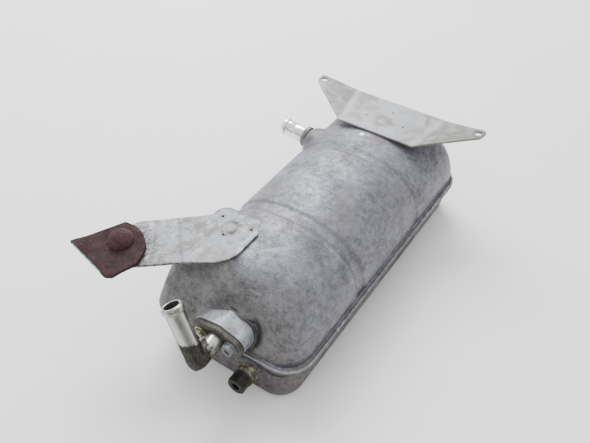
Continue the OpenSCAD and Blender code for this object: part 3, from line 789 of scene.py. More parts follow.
def buildPan():
    e, w = pan["edge"], pan["wall"]
    rings = [panRing(0, 30), panRing(0, 18)]
    turns = [math.radians(15 * i) for i in range(7)]
    rings += [panRing(e - e * math.cos(a), e - e * math.sin(a)) for a in turns]
    rings += [panRing(z) for z in (9, 13, 17, 21, 25, 28.5, 31)]
    rings += [panRing(32.4, -0.3), panRing(33.3, -1.0)]
    rings += [rimRing(33.5, 1.2), rimRing(33.7, 0.5), rimRing(34.3, 0.1), rimRing(35.2, 0), rimRing(36.6, 0),
              rimRing(37.4, 0.2), rimRing(38.0, 0.8), rimRing(38.0, 1.9), rimRing(37.6, 2.4),
              rimRing(35.2, 2.4)]
    rings += [rimRing(35.1, 3.6), panRing(34.6, w), panRing(31, w), panRing(20, w), panRing(8, w),
              panRing(4, w + 1.2), panRing(w, w + 4), panRing(w, 30)]
    verts, faces = loft(rings, False, True, True)
    shaped = []
    for p in verts:
        v = Vector(p)
        amount = min(1, max(0, (v.z - 0.002) / 0.006)) * min(1, max(0, (0.036 - v.z) / 0.006))
        out = Vector((v.x, v.y * 0.5, 0)).normalized()
        shaped.append(v + out * amount * (wobble(v, 0.028, 5.5) * 0.0004 + wobble(v, 0.010, 1.5) * 0.00012))
    return makePiece("lowerShell", shaped, faces)


def beadTree():
    # Geometry Nodes: a rolled bead of a given radius along a path, with small crimp dents
    tree = bpy.data.node_groups.new("rolledBead", "GeometryNodeTree")
    face = tree.interface
    face.new_socket(name="Path", in_out="INPUT", socket_type="NodeSocketGeometry")
    for name, value in (("Bead radius", 0.0015), ("Dent depth", 0.0004), ("Dent size", 0.009),
                        ("Spacing", 0.0012)):
        socket = face.new_socket(name=name, in_out="INPUT", socket_type="NodeSocketFloat")
        socket.default_value = value
    face.new_socket(name="Finish", in_out="INPUT", socket_type="NodeSocketMaterial")
    face.new_socket(name="Bead", in_out="OUTPUT", socket_type="NodeSocketGeometry")
    n, link = tree.nodes, tree.links.new
    given, out = n.new("NodeGroupInput"), n.new("NodeGroupOutput")
    toCurve, resample = n.new("GeometryNodeMeshToCurve"), n.new("GeometryNodeResampleCurve")
    profile, sweep = n.new("GeometryNodeCurvePrimitiveCircle"), n.new("GeometryNodeCurveToMesh")
    resample.mode = "LENGTH"
    profile.inputs["Resolution"].default_value = 14
    link(given.outputs["Path"], toCurve.inputs[0])
    link(toCurve.outputs[0], resample.inputs["Curve"])
    link(given.outputs["Spacing"], resample.inputs["Length"])
    link(given.outputs["Bead radius"], profile.inputs["Radius"])
    sweep.inputs["Fill Caps"].default_value = True
    link(resample.outputs[0], sweep.inputs["Curve"])
    link(profile.outputs[0], sweep.inputs["Profile Curve"])
    place, normal = n.new("GeometryNodeInputPosition"), n.new("GeometryNodeInputNormal")
    cloud, invert = n.new("ShaderNodeTexNoise"), n.new("ShaderNodeMath")
    invert.operation = "DIVIDE"
    invert.inputs[0].default_value = 1.0
    link(given.outputs["Dent size"], invert.inputs[1])
    link(invert.outputs[0], cloud.inputs["Scale"])
    link(place.outputs[0], cloud.inputs["Vector"])
    centred, depth, push = n.new("ShaderNodeMath"), n.new("ShaderNodeMath"), n.new("ShaderNodeVectorMath")
    centred.operation, depth.operation, push.operation = "SUBTRACT", "MULTIPLY", "SCALE"
    centred.inputs[1].default_value = 0.5
    link(cloud.outputs[0], centred.inputs[0])
    link(centred.outputs[0], depth.inputs[0])
    link(given.outputs["Dent depth"], depth.inputs[1])
    link(normal.outputs[0], push.inputs[0])
    link(depth.outputs[0], push.inputs["Scale"])
    move, smooth = n.new("GeometryNodeSetPosition"), n.new("GeometryNodeSetShadeSmooth")
    real, dress = n.new("GeometryNodeRealizeInstances"), n.new("GeometryNodeSetMaterial")
    link(sweep.outputs[0], move.inputs["Geometry"])
    link(push.outputs[0], move.inputs["Offset"])
    link(move.outputs[0], smooth.inputs[0])
    link(smooth.outputs[0], real.inputs[0])
    link(real.outputs[0], dress.inputs["Geometry"])
    link(given.outputs["Finish"], dress.inputs["Material"])
    link(dress.outputs[0], out.inputs[0])
    return tree


def growAlong(name, path, closed, tree, **sizes):
    # runs a Geometry Nodes tree on a path of points and keeps the plain mesh
    mesh = bpy.data.meshes.new(name)
    count = len(path)
    edges = [(i, i + 1) for i in range(count - 1)] + ([(count - 1, 0)] if closed else [])
    mesh.from_pydata([tuple(p) for p in path], edges, [])
    piece = addObject(name, mesh)
    grow = piece.modifiers.new("grow", "NODES")
    grow.node_group = tree
    sockets = {item.name: item.identifier for item in tree.interface.items_tree if item.in_out == "INPUT"}
    for key, value in sizes.items():
        grow[sockets[key.replace("_", " ")]] = value
    return bakeModifiers(piece)


print("finishes")
shellFinish = oxidisedShell()
panFinish = stainedPan()
beadFinish = wornBeadWithHighlight()
rubber = sealRubber("sealRubber")
inside = insideMetal()
darkWeld = weldMetal("darkWeld", 0.12)
lightWeld = weldMetal("lightWeld", 0.26)
# near black, so the port weld reads as the shadow at the block's root: painted shadow
rootWeldShadow = weldMetal("rootWeldShadow", 0.10)
zincBolt = zincPassivate("zincBolt", (0.42, 0.39, 0.28))
greyBolt = greyZinc()
bossFinish = yellowBoss()
plugFinish = blackenedSteel("blackPlug", 0.45, 0.7)
rustFinish = rustyPlate("rustPlate", 0.27)
rivetFinish = rustyPlate("rustRivet", 0.50)
flangeFinish = blackenedSteel("rustFlange", 0.95, 0.2)
strapFinish = satinStrap()
bracketFinish = satinBracket()
pipeFinish = brightPipe()
blockFinish = castBlock()
washerFinish = copperSeal()
cutFinish = cutSteel()
boreFinish = sealRubber("darkBore")

print("shells")
finishPiece(buildUpperShell(), "vessel", "upper_shell", "shell_alloy", shellFinish)
foot = [rimRing(35.9, 2.5), rimRing(37.9, 2.5), rimRing(38.4, 2.9), rimRing(38.6, 3.8), rimRing(38.0, 8.0),
        rimRing(35.9, 8.0)]
finishPiece(makePiece("shellFoot", *loft(foot, True)), "vessel", None, "shell_alloy", shellFinish)
finishPiece(buildPan(), "vessel", "lower_shell", "pan_alloy", panFinish)
seamBead = growAlong("seamBead", rimRing(38.0, 1.3), True, beadTree(), Bead_radius=0.0012, Dent_depth=0.0008,
                     Dent_size=0.009, Spacing=0.0012, Finish=beadFinish)
finishPiece(seamBead, "vessel", None, "pan_alloy", beadFinish)

outlet = {
    "boltOffset": 0.0137, "boltFace": -0.153, "collarAt": 0.0412, "collarLength": 0.0055,
    "cornerY": -0.1745, "radius": 0.0075, "bore": 0.006, "leg": 0.047, "legDirection": (-0.475, 0.11, 0.873),
    "startY": -0.1492,
}


def buildElbow():
    # rings along both legs; round the mitred corner they turn quickly from one leg to the other
    o = outlet
    corner = Vector((port["x"], o["cornerY"], port["z"]))
    first, second = Vector((0, -1, 0)), Vector(o["legDirection"]).normalized()
    flatAxis = first.cross(second).normalized()
    turn = first.angle(second)
    reach, tightness = 0.0088, 0.90  # where the corner starts on each leg, and how mitred it is
    stations = []
    legOne = abs(o["cornerY"] - o["startY"])
    for d in np.linspace(legOne, reach, 8):
        stations.append((corner - first * d, 0.0))
    bendSteps = 14
    for i in range(1, bendSteps):
        t = i / bendSteps
        start, end = corner - first * reach, corner + second * reach
        curve = start * (1 - t) ** 2 + corner * 2 * t * (1 - t) + end * t * t
        straight = corner - first * reach * (1 - 2 * t) if t < 0.5 else corner + second * reach * (2 * t - 1)
        stations.append((curve.lerp(straight, tightness), t))
    for d in np.linspace(reach, o["leg"], 30):
        stations.append((corner + second * d, 1.0))
    outer, inner = [], []
    for place, t in stations:
        share = smoothStep(np.array(t), 0.22, 0.78) if 0 < t < 1 else t
        way = Matrix.Rotation(turn * float(share), 3, flatAxis) @ first
        up = flatAxis.cross(way)
        along = (place - corner).dot(second)
        grow = 1.0
        if t == 1.0:
            # a worn step low on the leg and a neck line under the collar
            grow += 0.012 if along < 0.016 else 0.0
            grow -= 0.020 * math.exp(-((along - 0.0400) / 0.0007) ** 2)
        stretch = 1.0 + 0.12 * math.sin(math.pi * t) ** 2 if 0 < t < 1 else 1.0
        for rings, r in ((outer, o["radius"] * grow), (inner, o["bore"])):
            ring = []
            for k in range(56):
                a = 2 * math.pi * k / 56
                ring.append(place + flatAxis * (r * math.cos(a)) + up * (r * stretch * math.sin(a)))
            rings.append(ring)
    verts, faces = loft(outer + inner[::-1], True)
    piece = makePiece("outletElbow", verts, faces)
    return piece, corner, second


def buildCollar(name, radius, length, place, direction, out=0.0009):
    # rolled bead: rises from the pipe, runs level and turns in again
    profile = [(radius - 0.0003, 0.0), (radius + 0.0001, 0.0002), (radius + out * 0.55, 0.0008),
               (radius + out * 0.9, 0.0013), (radius + out, 0.0020), (radius + out * 0.95, length - 0.0012),
               (radius + out * 0.7, length - 0.0006), (radius + out * 0.2, length), (radius - 0.0003, length)]
    sideways = Vector((0, 1, 0)) if abs(direction[1]) < 0.9 else Vector((1, 0, 0))
    verts, faces = lathe(profile, 72, True)
    return makePiece(name, verts, faces, axes(sideways, direction, place))


def paintReflectionStreaks(piece):
    # dark lines painted along the leg and its collar; they stand in for reflections of a room
    side = Vector((0.84, -0.54, 0)).normalized()
    streaks = []
    for v in piece.data.vertices:
        off = v.co - elbowCorner
        off = off - legWay * off.dot(legWay)
        share = off.dot(side) / outlet["radius"]
        streaks.append(math.exp(-((share - 0.30) / 0.16) ** 2) + 0.7 * math.exp(-((share + 0.78) / 0.12) ** 2)
                       + 0.8 * math.exp(-((share - 0.92) / 0.10) ** 2))
    paintMask(piece.data, "streak", np.clip(streaks, 0, 1))


print("outlet")
elbow, elbowCorner, legWay = buildElbow()
sootPlace = elbowCorner + legWay * 0.004 + Vector((-0.004, -0.001, -0.001))
elbowFinish = zincPassivate("zincElbow", (0.52, 0.53, 0.48), (tuple(sootPlace), 0.0240), True)
finishPiece(elbow, "vessel", "outlet_elbow", "zinc_yellow", elbowFinish, boreFinish)
paintReflectionStreaks(elbow)
for face in elbow.data.polygons:
    # the inside of the bore is near black
    fromAxis = face.center - elbowCorner
    d = fromAxis.dot(legWay)
    if d > 0.012 and (fromAxis - legWay * d).length < 0.0067 and face.normal.dot(fromAxis - legWay * d) < 0:
        face.material_index = 1
collar = buildCollar("outletCollar", outlet["radius"], outlet["collarLength"],
                     elbowCorner + legWay * outlet["collarAt"], legWay)
paintReflectionStreaks(collar)
collarFinish = zincPassivate("zincCollar", (0.50, 0.50, 0.44), None, True)
finishPiece(collar, "vessel", "outlet_bead", "zinc_yellow", collarFinish)


def hexRadius(flat, angle):
    # distance to a hexagon's side of half width "flat" at that angle
    sixth = math.pi / 3
    return flat / math.cos((angle % sixth) - sixth / 2)


def buildHexHead(name, rows, hollow, place, steps=72):
    # rows holds (height, round radius, half width over flats or None); hollow is (radius, depth, hexagonal)
    rings = []
    for height, r, flat in rows:
        ring = []
        for i in range(steps):
            a = 2 * math.pi * i / steps
            radius = min(r, hexRadius(flat, a)) if flat else r
            ring.append((radius * math.cos(a), radius * math.sin(a), height))
        rings.append(ring)
    top = rows[-1][0]
    for height, share in ((top, 1.0), (top - 0.0003, 0.96), (top - hollow[1], 0.94),
                          (top - hollow[1] - 0.0004, 0.5)):
        ring = []
        for i in range(steps):
            a = 2 * math.pi * i / steps
            radius = hollow[0] * share if not hollow[2] else hexRadius(hollow[0] * share, a)
            ring.append((radius * math.cos(a), radius * math.sin(a), height))
        rings.append(ring)
    verts, faces = loft(rings, False, True, True)
    return sharpBy(makePiece(name, verts, faces, place), 32)


def boltRows():
    return [(-0.0160, 0.0028, None), (-0.0156, 0.0030, None), (-0.0002, 0.0030, None), (0.0, 0.0058, None),
            (0.0003, 0.0060, None), (0.0009, 0.0060, None), (0.0013, 0.0056, None), (0.0014, 0.0055, 0.00476),
            (0.0040, 0.0055, 0.00476), (0.0046, 0.0052, 0.00476), (0.0050, 0.0046, 0.00476)]


for side, name, slotName, finish in ((1, "right", "zinc_grey", greyBolt),
                                     (-1, "left", "zinc_yellow", zincBolt)):
    t = port["turn"]
    centre = Vector((port["x"] + side * outlet["boltOffset"] * math.cos(t), outlet["boltFace"],
                     port["z"] + side * outlet["boltOffset"] * math.sin(t)))
    head = buildHexHead("flangeBolt" + name.capitalize(), boltRows(), (0.0024, 0.0015, False),
                        axes((0.95, 0, 0.3), (0, -1, 0), centre))
    finishPiece(head, "vessel", "flange_bolt_" + name, slotName, finish)
finishPiece(softened("port_block", "portBlock", 0.0011, 3), "vessel", "port_block", "cast_alloy", blockFinish)
finishPiece(softened("port_flange", "portFlange", 0.0006, 2), "vessel", "port_flange", "flange_steel",
            flangeFinish)

print("drain")
drain = {"x": 0.0285, "z": 0.025, "face": -0.1535, "washer": 0.0016, "weldY": -0.1440}
drainPlace = axes((1, 0, 0), (0, -1, 0), (drain["x"], drain["face"], drain["z"]))
bossProfile = [(0.00505, -0.0155), (0.0084, -0.0155), (0.0084, -0.0046), (0.0081, -0.0043), (0.0081, -0.0036),
               (0.0084, -0.0033), (0.0084, -0.0008), (0.0080, -0.0001), (0.0060, 0.0), (0.00505, -0.0006)]
bossPiece = makePiece("drainBoss", *lathe(bossProfile, 72, True), drainPlace)
finishPiece(sharpBy(bossPiece, 45), "vessel", "drain_boss", "drain_steel", bossFinish)
washerProfile = [(0.0053, 0.0001), (0.0077, 0.0), (0.0081, 0.0004), (0.0081, 0.0012), (0.0077, 0.0016),
                 (0.0053, 0.0015)]
washerPiece = makePiece("drainWasher", *lathe(washerProfile, 64, True), drainPlace)
finishPiece(sharpBy(washerPiece, 50), "drain_seal", "drain_washer", "copper_seal", washerFinish)
plugRows = [(-0.0100, 0.0034, None), (-0.0093, 0.0043, None), (-0.0002, 0.0043, None), (0.0, 0.0076, None),
            (0.0003, 0.0080, None), (0.0011, 0.0080, None), (0.0016, 0.0076, None), (0.0017, 0.0078, 0.0069),
            (0.0076, 0.0079, 0.0070), (0.0086, 0.0076, 0.0070), (0.0090, 0.0070, 0.0069)]
plugPlace = drainPlace @ Matrix.Translation((0, 0, drain["washer"])) @ Matrix.Rotation(0.35, 4, "Z")
plugPiece = buildHexHead("drainPlug", plugRows, (0.0034, 0.0042, True), plugPlace)
finishPiece(plugPiece, "plug", "drain_plug", "plug_steel", plugFinish)
thread = {"turns": 6, "pitch": 0.00125, "radius": 0.00445, "start": 0.0004, "steps": 40}
threadPath = []
for i in range(thread["steps"] * thread["turns"]):
    a = 2 * math.pi * i / thread["steps"]
    depth = thread["start"] - thread["pitch"] * a / (2 * math.pi)
    threadPath.append(drainPlace @ Vector((thread["radius"] * math.cos(a), thread["radius"] * math.sin(a),
                                           depth)))
threadPiece = growAlong("drainPlugThread", threadPath, False, beadTree(), Bead_radius=0.0005, Dent_depth=0.0,
                        Dent_size=0.004, Spacing=0.0007, Finish=plugFinish)
finishPiece(threadPiece, "plug", None, "plug_steel", plugFinish)

print("inlet")
inlet = {"place": (-0.068, 0.077, 0.068), "tilt": math.radians(6), "radius": 0.008, "beadAt": 0.0190,
         "beadLength": 0.0042}
inletWay = Vector((-math.cos(inlet["tilt"]), 0, math.sin(inlet["tilt"])))
inletPlace = Vector(inlet["place"])
pipeProfile = [(0.0068, -0.014), (0.0080, -0.014), (0.0080, 0.0), (0.0080, 0.0060), (0.0080, 0.0105),
               (0.00785, 0.0108), (0.00785, 0.0112), (0.0080, 0.0115), (0.0080, 0.0180), (0.0080, 0.0234),
               (0.0078, 0.0239), (0.0070, 0.0240), (0.0068, 0.0237)]
pipePiece = makePiece("inletPipe", *lathe(pipeProfile, 72, True), axes((0, 1, 0), inletWay, inletPlace))
finishPiece(sharpBy(pipePiece, 50), "vessel", "inlet_pipe", "sheet_bright", pipeFinish)
beadPiece = buildCollar("inletBead", inlet["radius"], inlet["beadLength"],
                        inletPlace + inletWay * inlet["beadAt"], inletWay)
finishPiece(beadPiece, "vessel", "inlet_bead", "sheet_bright", pipeFinish)


def lumpyRing(name, radius, width, height, place, lumps, seed, steps=96):
    # weld fillet round a boss: overlapping beads, no two quite alike
    rings = []
    for i in range(9):
        a = math.pi * i / 8
        ring = []
        for k in range(steps):
            w = 2 * math.pi * k / steps
            grain = noise.noise(Vector((math.cos(w) * 2, math.sin(w) * 2, seed)))
            lump = 1 + 0.18 * abs(math.sin(w * lumps / 2)) + 0.18 * grain
            r = radius + width * (1 - i / 8) * lump
            z = height * math.sin(a / 2) * lump
            ring.append((r * math.cos(w), r * math.sin(w), z))
        rings.append(ring)
    base = [[(p[0] * 0.97, p[1] * 0.97, -0.0006) for p in rings[-1]],
            [(p[0], p[1], -0.0006) for p in rings[0]]]
    verts, faces = loft(rings + base, True)
    return makePiece(name, verts, faces, place)


finishPiece(softened("inlet_weld", "inletWeld", 0.0004, 2), "vessel", "inlet_weld", "weld_metal", lightWeld)
drainWeld = lumpyRing("drainWeld", 0.00835, 0.0021, 0.0020,
                      axes((1, 0, 0), (0, -1, 0), (drain["x"], drain["weldY"], drain["z"])), 15, 4.0)
finishPiece(drainWeld, "vessel", "drain_weld", "weld_metal", darkWeld)

print("brackets")
bracket = {"holes": 0.082, "tipY": 0.133, "cornerX": 0.037, "frontY": 0.087, "rearY": 0.140, "base": 0.092,
           "sheet": 0.002, "weldY": 0.108, "wing": math.radians(6), "skew": math.radians(10), "soft": 0.0022}


def holeLoop(x, y, r, steps=28):
    return arcPoints((x, y), r, 0, 360 - 360 / steps, steps - 1)


def bracketDirtShadeAt(p):
    # darker along the front edge, round the plug weld and round the fixing holes: dirt, with painted shade at
    # the edge and in the weld's groove
    front = math.exp(-((p.y - bracket["frontY"]) / 0.0016) ** 2) * 0.6 if abs(p.x) < bracket["cornerX"] else 0
    weld = math.exp(-((math.hypot(p.x, p.y - bracket["weldY"]) - 0.0068) / 0.0012) ** 2) * 0.75
    hole = math.exp(-((math.hypot(abs(p.x) - tipX, p.y - tipY) - 0.0036) / 0.0018) ** 2) * 0.7
    return max(front, weld, hole)


def bendBracket(p):
    # wings turn up about skewed lines through the front corners; the weld nugget is a low dimple
    b = bracket
    side = 1 if p.x > 0 else -1
    px = abs(p.x)
    across = Vector((math.cos(b["skew"]), -math.sin(b["skew"])))
    d = (px - b["cornerX"]) * across.x + (p.y - b["frontY"]) * across.y
    soft, k = b["soft"], b["wing"]
    if d > soft:
        lift, draw = (d - soft / 2) * math.tan(k), d * (1 / math.cos(k) - 1)
    elif d > 0:
        lift, draw = d * d / (2 * soft) * math.tan(k), 0.0
    else:
        lift, draw = 0.0, 0.0
    r = math.hypot(p.x, p.y - b["weldY"])
    ring = math.exp(-((r - 0.0068) / 0.0011) ** 2) * -0.00055 + math.exp(-(r / 0.0045) ** 2) * 0.00025
    flat = wobble((p.x, p.y, 0), 0.035, 2.2) * 0.0004 * min(1, max(0, d / 0.01 + 1))
    return Vector((side * (px - draw * across.x), p.y + draw * 0.17,
                   b["base"] + p.z + lift + ring + flat * 0.6))


tipX, tipY, tipR = bracket["holes"], bracket["tipY"], 0.007
tipFront = tipR * 0.86
rightCorners = [(bracket["cornerX"], bracket["frontY"], 0.003),
                (tipX + tipFront * 0.75, tipY - tipFront, 0.006),
                (tipX + tipR, tipY + tipR, 0.007), (0.046, bracket["rearY"], 0.004)]
leftCorners = [(-x, y, r) for x, y, r in rightCorners[::-1]]
bracketHoles = [holeLoop(s * tipX, tipY, 0.0033) for s in (-1, 1)]
bracketHoles += [holeLoop(x, y, 0.0009, 12) for x, y in ((-0.019, bracket["weldY"]), (0, 0.124),
                                                         (0.019, bracket["weldY"]))]
bracketPiece = sheetPiece("rearBracket", roundedOutline(rightCorners + leftCorners), bracketHoles,
                          bracket["sheet"],
                          0.00035, 0.0022, bendBracket)
bracketFoldHighlight, bracketWingShade = [], []
bracketDirtAndShade = [bracketDirtShadeAt(v.co) for v in bracketPiece.data.vertices]
# the fold lines get a painted highlight and the wings painted shade
for v in bracketPiece.data.vertices:
    away = ((abs(v.co.x) - bracket["cornerX"]) * math.cos(bracket["skew"])
            - (v.co.y - bracket["frontY"]) * math.sin(bracket["skew"]))
    bracketFoldHighlight.append(math.exp(-((away + 0.0015) / 0.0022) ** 2))
    bracketWingShade.append(min(1, max(0, (away - 0.0005) / 0.003)))
for key, values in (("foldHighlight", bracketFoldHighlight), ("wing", bracketWingShade), ("dirtAndShade", bracketDirtAndShade)):
    paintMask(bracketPiece.data, key, values)
finishPiece(bracketPiece, "vessel", ["rear_bracket", "rear_plug_weld"], "sheet_grey", bracketFinish)

strap = {"base": boss["top"], "sheet": 0.002, "creaseX": -0.0586, "creaseY": -0.1131,
         "crease": math.radians(3),
         "soft": 0.003, "weldX": -0.0306, "weldY": -0.0851}


def outOfCrease(p):
    return ((strap["creaseX"] - p[0]) + (strap["creaseY"] - p[1])) / math.sqrt(2)


def creased(p, base):
    # everything past the crease drops by its angle
    d = outOfCrease(p)
    drop = max(0.0, d - strap["soft"] / 2) * math.tan(strap["crease"])
    ridge = math.exp(-(d / 0.0011) ** 2) * 0.00018
    return Vector((p[0], p[1], base + p[2] - drop + ridge))


def bendStrap(p):
    r = math.hypot(p.x - strap["weldX"], p.y - strap["weldY"])
    ring = math.exp(-((r - 0.0064) / 0.0012) ** 2) * -0.0007 + math.exp(-(r / 0.004) ** 2) * 0.0002
    dimple = sum(math.exp(-(math.hypot(p.x - x, p.y - y) / 0.0022) ** 2) for x, y in strapMarks) * -0.0004
    wave = wobble((p.x, p.y, 0), 0.022, 6.0) * 0.00045 + wobble((p.x, p.y, 0), 0.008, 1.0) * 0.00012
    bent = creased(p, strap["base"])
    bent.z += ring + dimple + wave
    return bent


strapMarks = [(strap["weldX"] + x, strap["weldY"] + y) for x,
              y in ((-0.014, 0.007), (-0.001, -0.009), (0.014, 0.007))]
strapCorners = [(-53, -75, 4), (-47, -69, 4), (-16, -71, 6), (-11, -76, 4), (-11, -105, 8), (-14, -112, 5),
                (-20, -119, 6), (-29, -125, 12), (-47.6, -138, 30), (-70, -155, 20), (-80, -160, 4),
                (-98, -145, 6), (-104, -133, 6), (-98, -116, 14), (-82.4, -104, 30), (-62, -86.5, 20),
                (-56, -81, 6)]
strapShift = (0.0014, -0.0021)


def strapPlan(corners):
    # corners in millimetres, moved to where the strap lies
    return roundedOutline([(x * mm + strapShift[0], y * mm + strapShift[1], r * mm) for x, y, r in corners])


def raggedEdge(outline, size, depth, level, seeds):
    # a corroded, slightly ragged cut edge
    ragged = []
    for x, y in outline:
        ragged.append((x + wobble((x, y, level), size, seeds[0]) * depth,
                       y + wobble((x, y, level + 1), size, seeds[1]) * depth))
    return ragged


strapOutline = raggedEdge(strapPlan(strapCorners), 0.004, 0.0003, 0, (9.0, 4.0))
strapPiece = sheetPiece("frontStrap", strapOutline, [holeLoop(x, y, 0.0009, 12) for x, y in strapMarks],
                        strap["sheet"],
                        0.00035, 0.0014, bendStrap)
strapPoints = [v.co for v in strapPiece.data.vertices]
edgeLine = [(Vector((-0.0706, -0.1581)), Vector((-0.0186, -0.1211))),
            (Vector((-0.0186, -0.1211)), Vector((-0.0096, -0.1071)))]


def toSegment(p, a, b):
    t = max(0, min(1, (Vector(p[:2]) - a).dot(b - a) / (b - a).length_squared))
    return (Vector(p[:2]) - (a + (b - a) * t)).length


plateCentre = (-0.0966, -0.1571)


def strapDirtShadeAt(p):
    # darker along the front edge, round the plug weld and at the three small marks: dirt, with painted shade
    # at the edge, in the weld's groove and beside the marks
    edge = max(math.exp(-(toSegment(p, a, b) / 0.0022) ** 2) for a, b in edgeLine)
    weld = math.exp(-((math.hypot(p.x - strap["weldX"], p.y - strap["weldY"]) - 0.0064) / 0.0011) ** 2) * 0.8
    marks = max(math.exp(-(math.hypot(p.x - x, p.y - y) / 0.0020) ** 2) for x, y in strapMarks)
    return max(edge, weld, marks)


def strapSpecks(p):
    # dark specks that thin out away from the end plate
    away = max(0, math.hypot(p.x - plateCentre[0], p.y - plateCentre[1]) - 0.0315)
    return math.exp(-(away / 0.011) ** 2)


def strapCrust(p):
    # a crust beside the crease
    along = (p.x - p.y - 0.048) / 0.03
    return math.exp(-(((outOfCrease(p) + 0.012) / 0.007) ** 2 + along ** 2))


strapDirtAndShade = [strapDirtShadeAt(p) for p in strapPoints]
strapSpeck = [strapSpecks(p) for p in strapPoints]
strapStain = [strapCrust(p) for p in strapPoints]
# a dark line along the crease: painted shade
strapCreaseShade = [math.exp(-((outOfCrease(p) + wobble(p, 0.012,
                                                 2.0) * 0.0012) / 0.0013) ** 2) for p in strapPoints]
for key, values in (("dirtAndShade", strapDirtAndShade), ("speck", strapSpeck), ("stain", strapStain), ("line", strapCreaseShade)):
    paintMask(strapPiece.data, key, values)
finishPiece(strapPiece, "vessel", ["front_strap", "strap_plug_weld"], "sheet_bright", strapFinish)

plate = {"thickness": 0.003, "arc": 31.5}
plateArc = [(x, y, 0) for x, y in arcPoints((-98, -155), plate["arc"], 3, 103, 26)]
plateCorners = [(-119.5, -150.5, 12), (-128, -162, 1.5), (-80, -173, 7), (-74, -170.5, 5)]
plateOutline = raggedEdge(strapPlan(plateArc + plateCorners), 0.005, 0.00025, 2, (2.0, 7.0))


def bendPlate(p):
    bent = creased(p, strap["base"] + strap["sheet"] + 0.0001)
    tipGap = max(0.0, -0.160 - p.y)
    bent.z += wobble((p.x, p.y, 0), 0.012, 3.0) * 0.0003 - tipGap * tipGap * 9
    return bent


platePiece = sheetPiece("endPlate", plateOutline, [], plate["thickness"], 0.0006, 0.0025, bendPlate)
finishPiece(platePiece, "vessel", "end_plate", "rusty_steel", rustFinish, cutFinish)
for face in platePiece.data.polygons:
    n, c = face.normal, face.center
    if abs(n.z) < 0.75 and n.y < -0.5 and -0.1225 < c.x < -0.084:
        face.material_index = 1

rivet = {"x": -0.0911, "y": -0.1436, "head": 0.010, "dome": 0.0082}


def rivetProfile():
    # flat tail, shank, then a low dome with faint turning rings
    ball = (rivet["head"] ** 2 + rivet["dome"] ** 2) / (2 * rivet["dome"])
    points = [(0.0062, -0.002), (0.0070, -0.0015), (0.0070, 0.0), (0.0040, 0.0), (0.0040, 0.0049),
              (0.0096, 0.0049),
              (0.0101, 0.0053), (0.0100, 0.0062)]
    reach = math.asin(rivet["head"] / ball)
    for i in range(1, 40):
        a = reach * (1 - i / 40)
        ring = 0.00010 * math.sin(i * 1.45)
        points.append(((ball + ring) * math.sin(a), 0.0065 + rivet["dome"] + ring - ball * (1 - math.cos(a))))
    return points


def rivetShape(r, z, a):
    return r * (1 + 0.012 * noise.noise(Vector((math.cos(a) * 2, math.sin(a) * 2, z * 300))))


rivetBase = creased(Vector((rivet["x"], rivet["y"], 0)), strap["base"])
rivetPiece = makePiece("strapRivet", *lathe(rivetProfile(), 72, False, rivetShape),
                       axes((1, 0, 0), (-math.sin(strap["crease"]) * 0.7, -math.sin(strap["crease"]) * 0.7,
                                        1), rivetBase))
finishPiece(sharpBy(rivetPiece, 45), "vessel", "strap_rivet", "rusty_steel", rivetFinish)

# the port weld takes the near-black weld as a painted shadow
for node, finish in (("port_gasket", rubber), ("seam_gasket", rubber), ("port_weld", rootWeldShadow),
                     ("front_baffle", inside),
                     ("rear_baffle", inside), ("pickup_tube", inside)):
    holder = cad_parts[node].data.materials
    holder.clear()
    holder.append(finish)

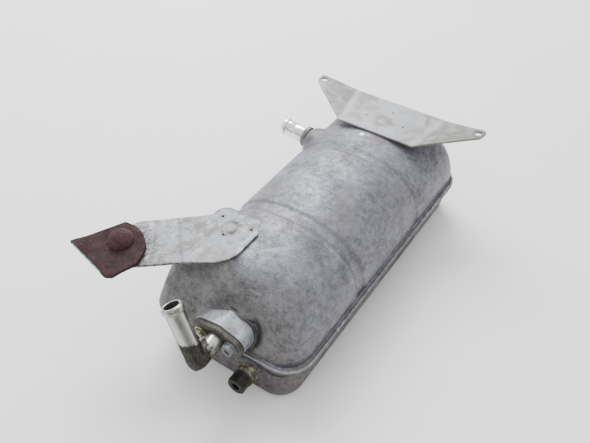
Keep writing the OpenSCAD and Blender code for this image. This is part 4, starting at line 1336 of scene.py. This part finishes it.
print("stage")
floorMesh = bpy.data.meshes.new("floor")
floorMesh.from_pydata([(-3, -3, 0), (3, -3, 0), (3, 3, 0), (-3, 3, 0)], [], [(0, 1, 2, 3)])
floor = addObject("floor", floorMesh)
floorFinish = Finish("paleFloor", 0.0)
paint = floorFinish.cloud(0.20, 4, 0.5)
floorMesh.materials.append(floorFinish.done(
    floorFinish.ramp(paint, (0.3, (0.86, 0.855, 0.835)), (0.7, (0.90, 0.895, 0.875))),
    floorFinish.band(paint, 0.3, 0.7, 0.6, 0.7)))

world = bpy.data.worlds.new("studio")
bpy.context.scene.world = world
world.use_nodes = True
skyTree = world.node_tree
sky = skyTree.nodes["Background"]
sky.inputs[1].default_value = 1.6
skyWay = skyTree.nodes.new("ShaderNodeTexCoord")
facing = skyTree.nodes.new("ShaderNodeVectorMath")
facing.operation = "DOT_PRODUCT"
facing.inputs[1].default_value = Vector((-0.45, 0.62, 0.64)).normalized()
fade = skyTree.nodes.new("ShaderNodeValToRGB")
skyTones = ((0.10, (0.30, 0.29, 0.28, 1)), (0.95, (1.05, 1.08, 1.12, 1)))
for mark, (place, colour) in zip(fade.color_ramp.elements, skyTones):
    mark.position, mark.color = place, colour
shift = skyTree.nodes.new("ShaderNodeMapRange")
shift.inputs["From Min"].default_value = -1
skyTree.links.new(skyWay.outputs["Generated"], facing.inputs[0])
skyTree.links.new(facing.outputs["Value"], shift.inputs["Value"])
skyTree.links.new(shift.outputs[0], fade.inputs[0])
skyTree.links.new(fade.outputs[0], sky.inputs[0])


def softLight(name, place, target, size, power, colour):
    lamp = bpy.data.lights.new(name, "AREA")
    lamp.shape, lamp.size, lamp.size_y = "RECTANGLE", size[0], size[1]
    lamp.energy, lamp.color = power, colour
    holder = addObject(name, lamp)
    holder.location = place
    holder.rotation_euler = (Vector(target) - Vector(place)).to_track_quat("-Z", "Y").to_euler()


softLight("windowLight", (-0.9, 0.8, 1.3), (0, 0, 0.04), (1.1, 0.9), 46, (0.96, 0.98, 1.0))
softLight("roomFill", (0.3, -1.4, 1.2), (0, 0, 0.05), (1.6, 1.2), 5.0, (1.0, 0.98, 0.95))

view = {"place": (0.219, -0.368, 0.457), "tilt": math.radians(46.4), "turn": math.radians(33.9),
        "lens": 40.88, "sensor": 36}
camera = addObject("camera", bpy.data.cameras.new("camera"))
camera.location = view["place"]
camera.rotation_euler = (view["tilt"], 0, view["turn"])
camera.data.lens = view["lens"]
camera.data.sensor_width = view["sensor"]
bpy.context.scene.camera = camera
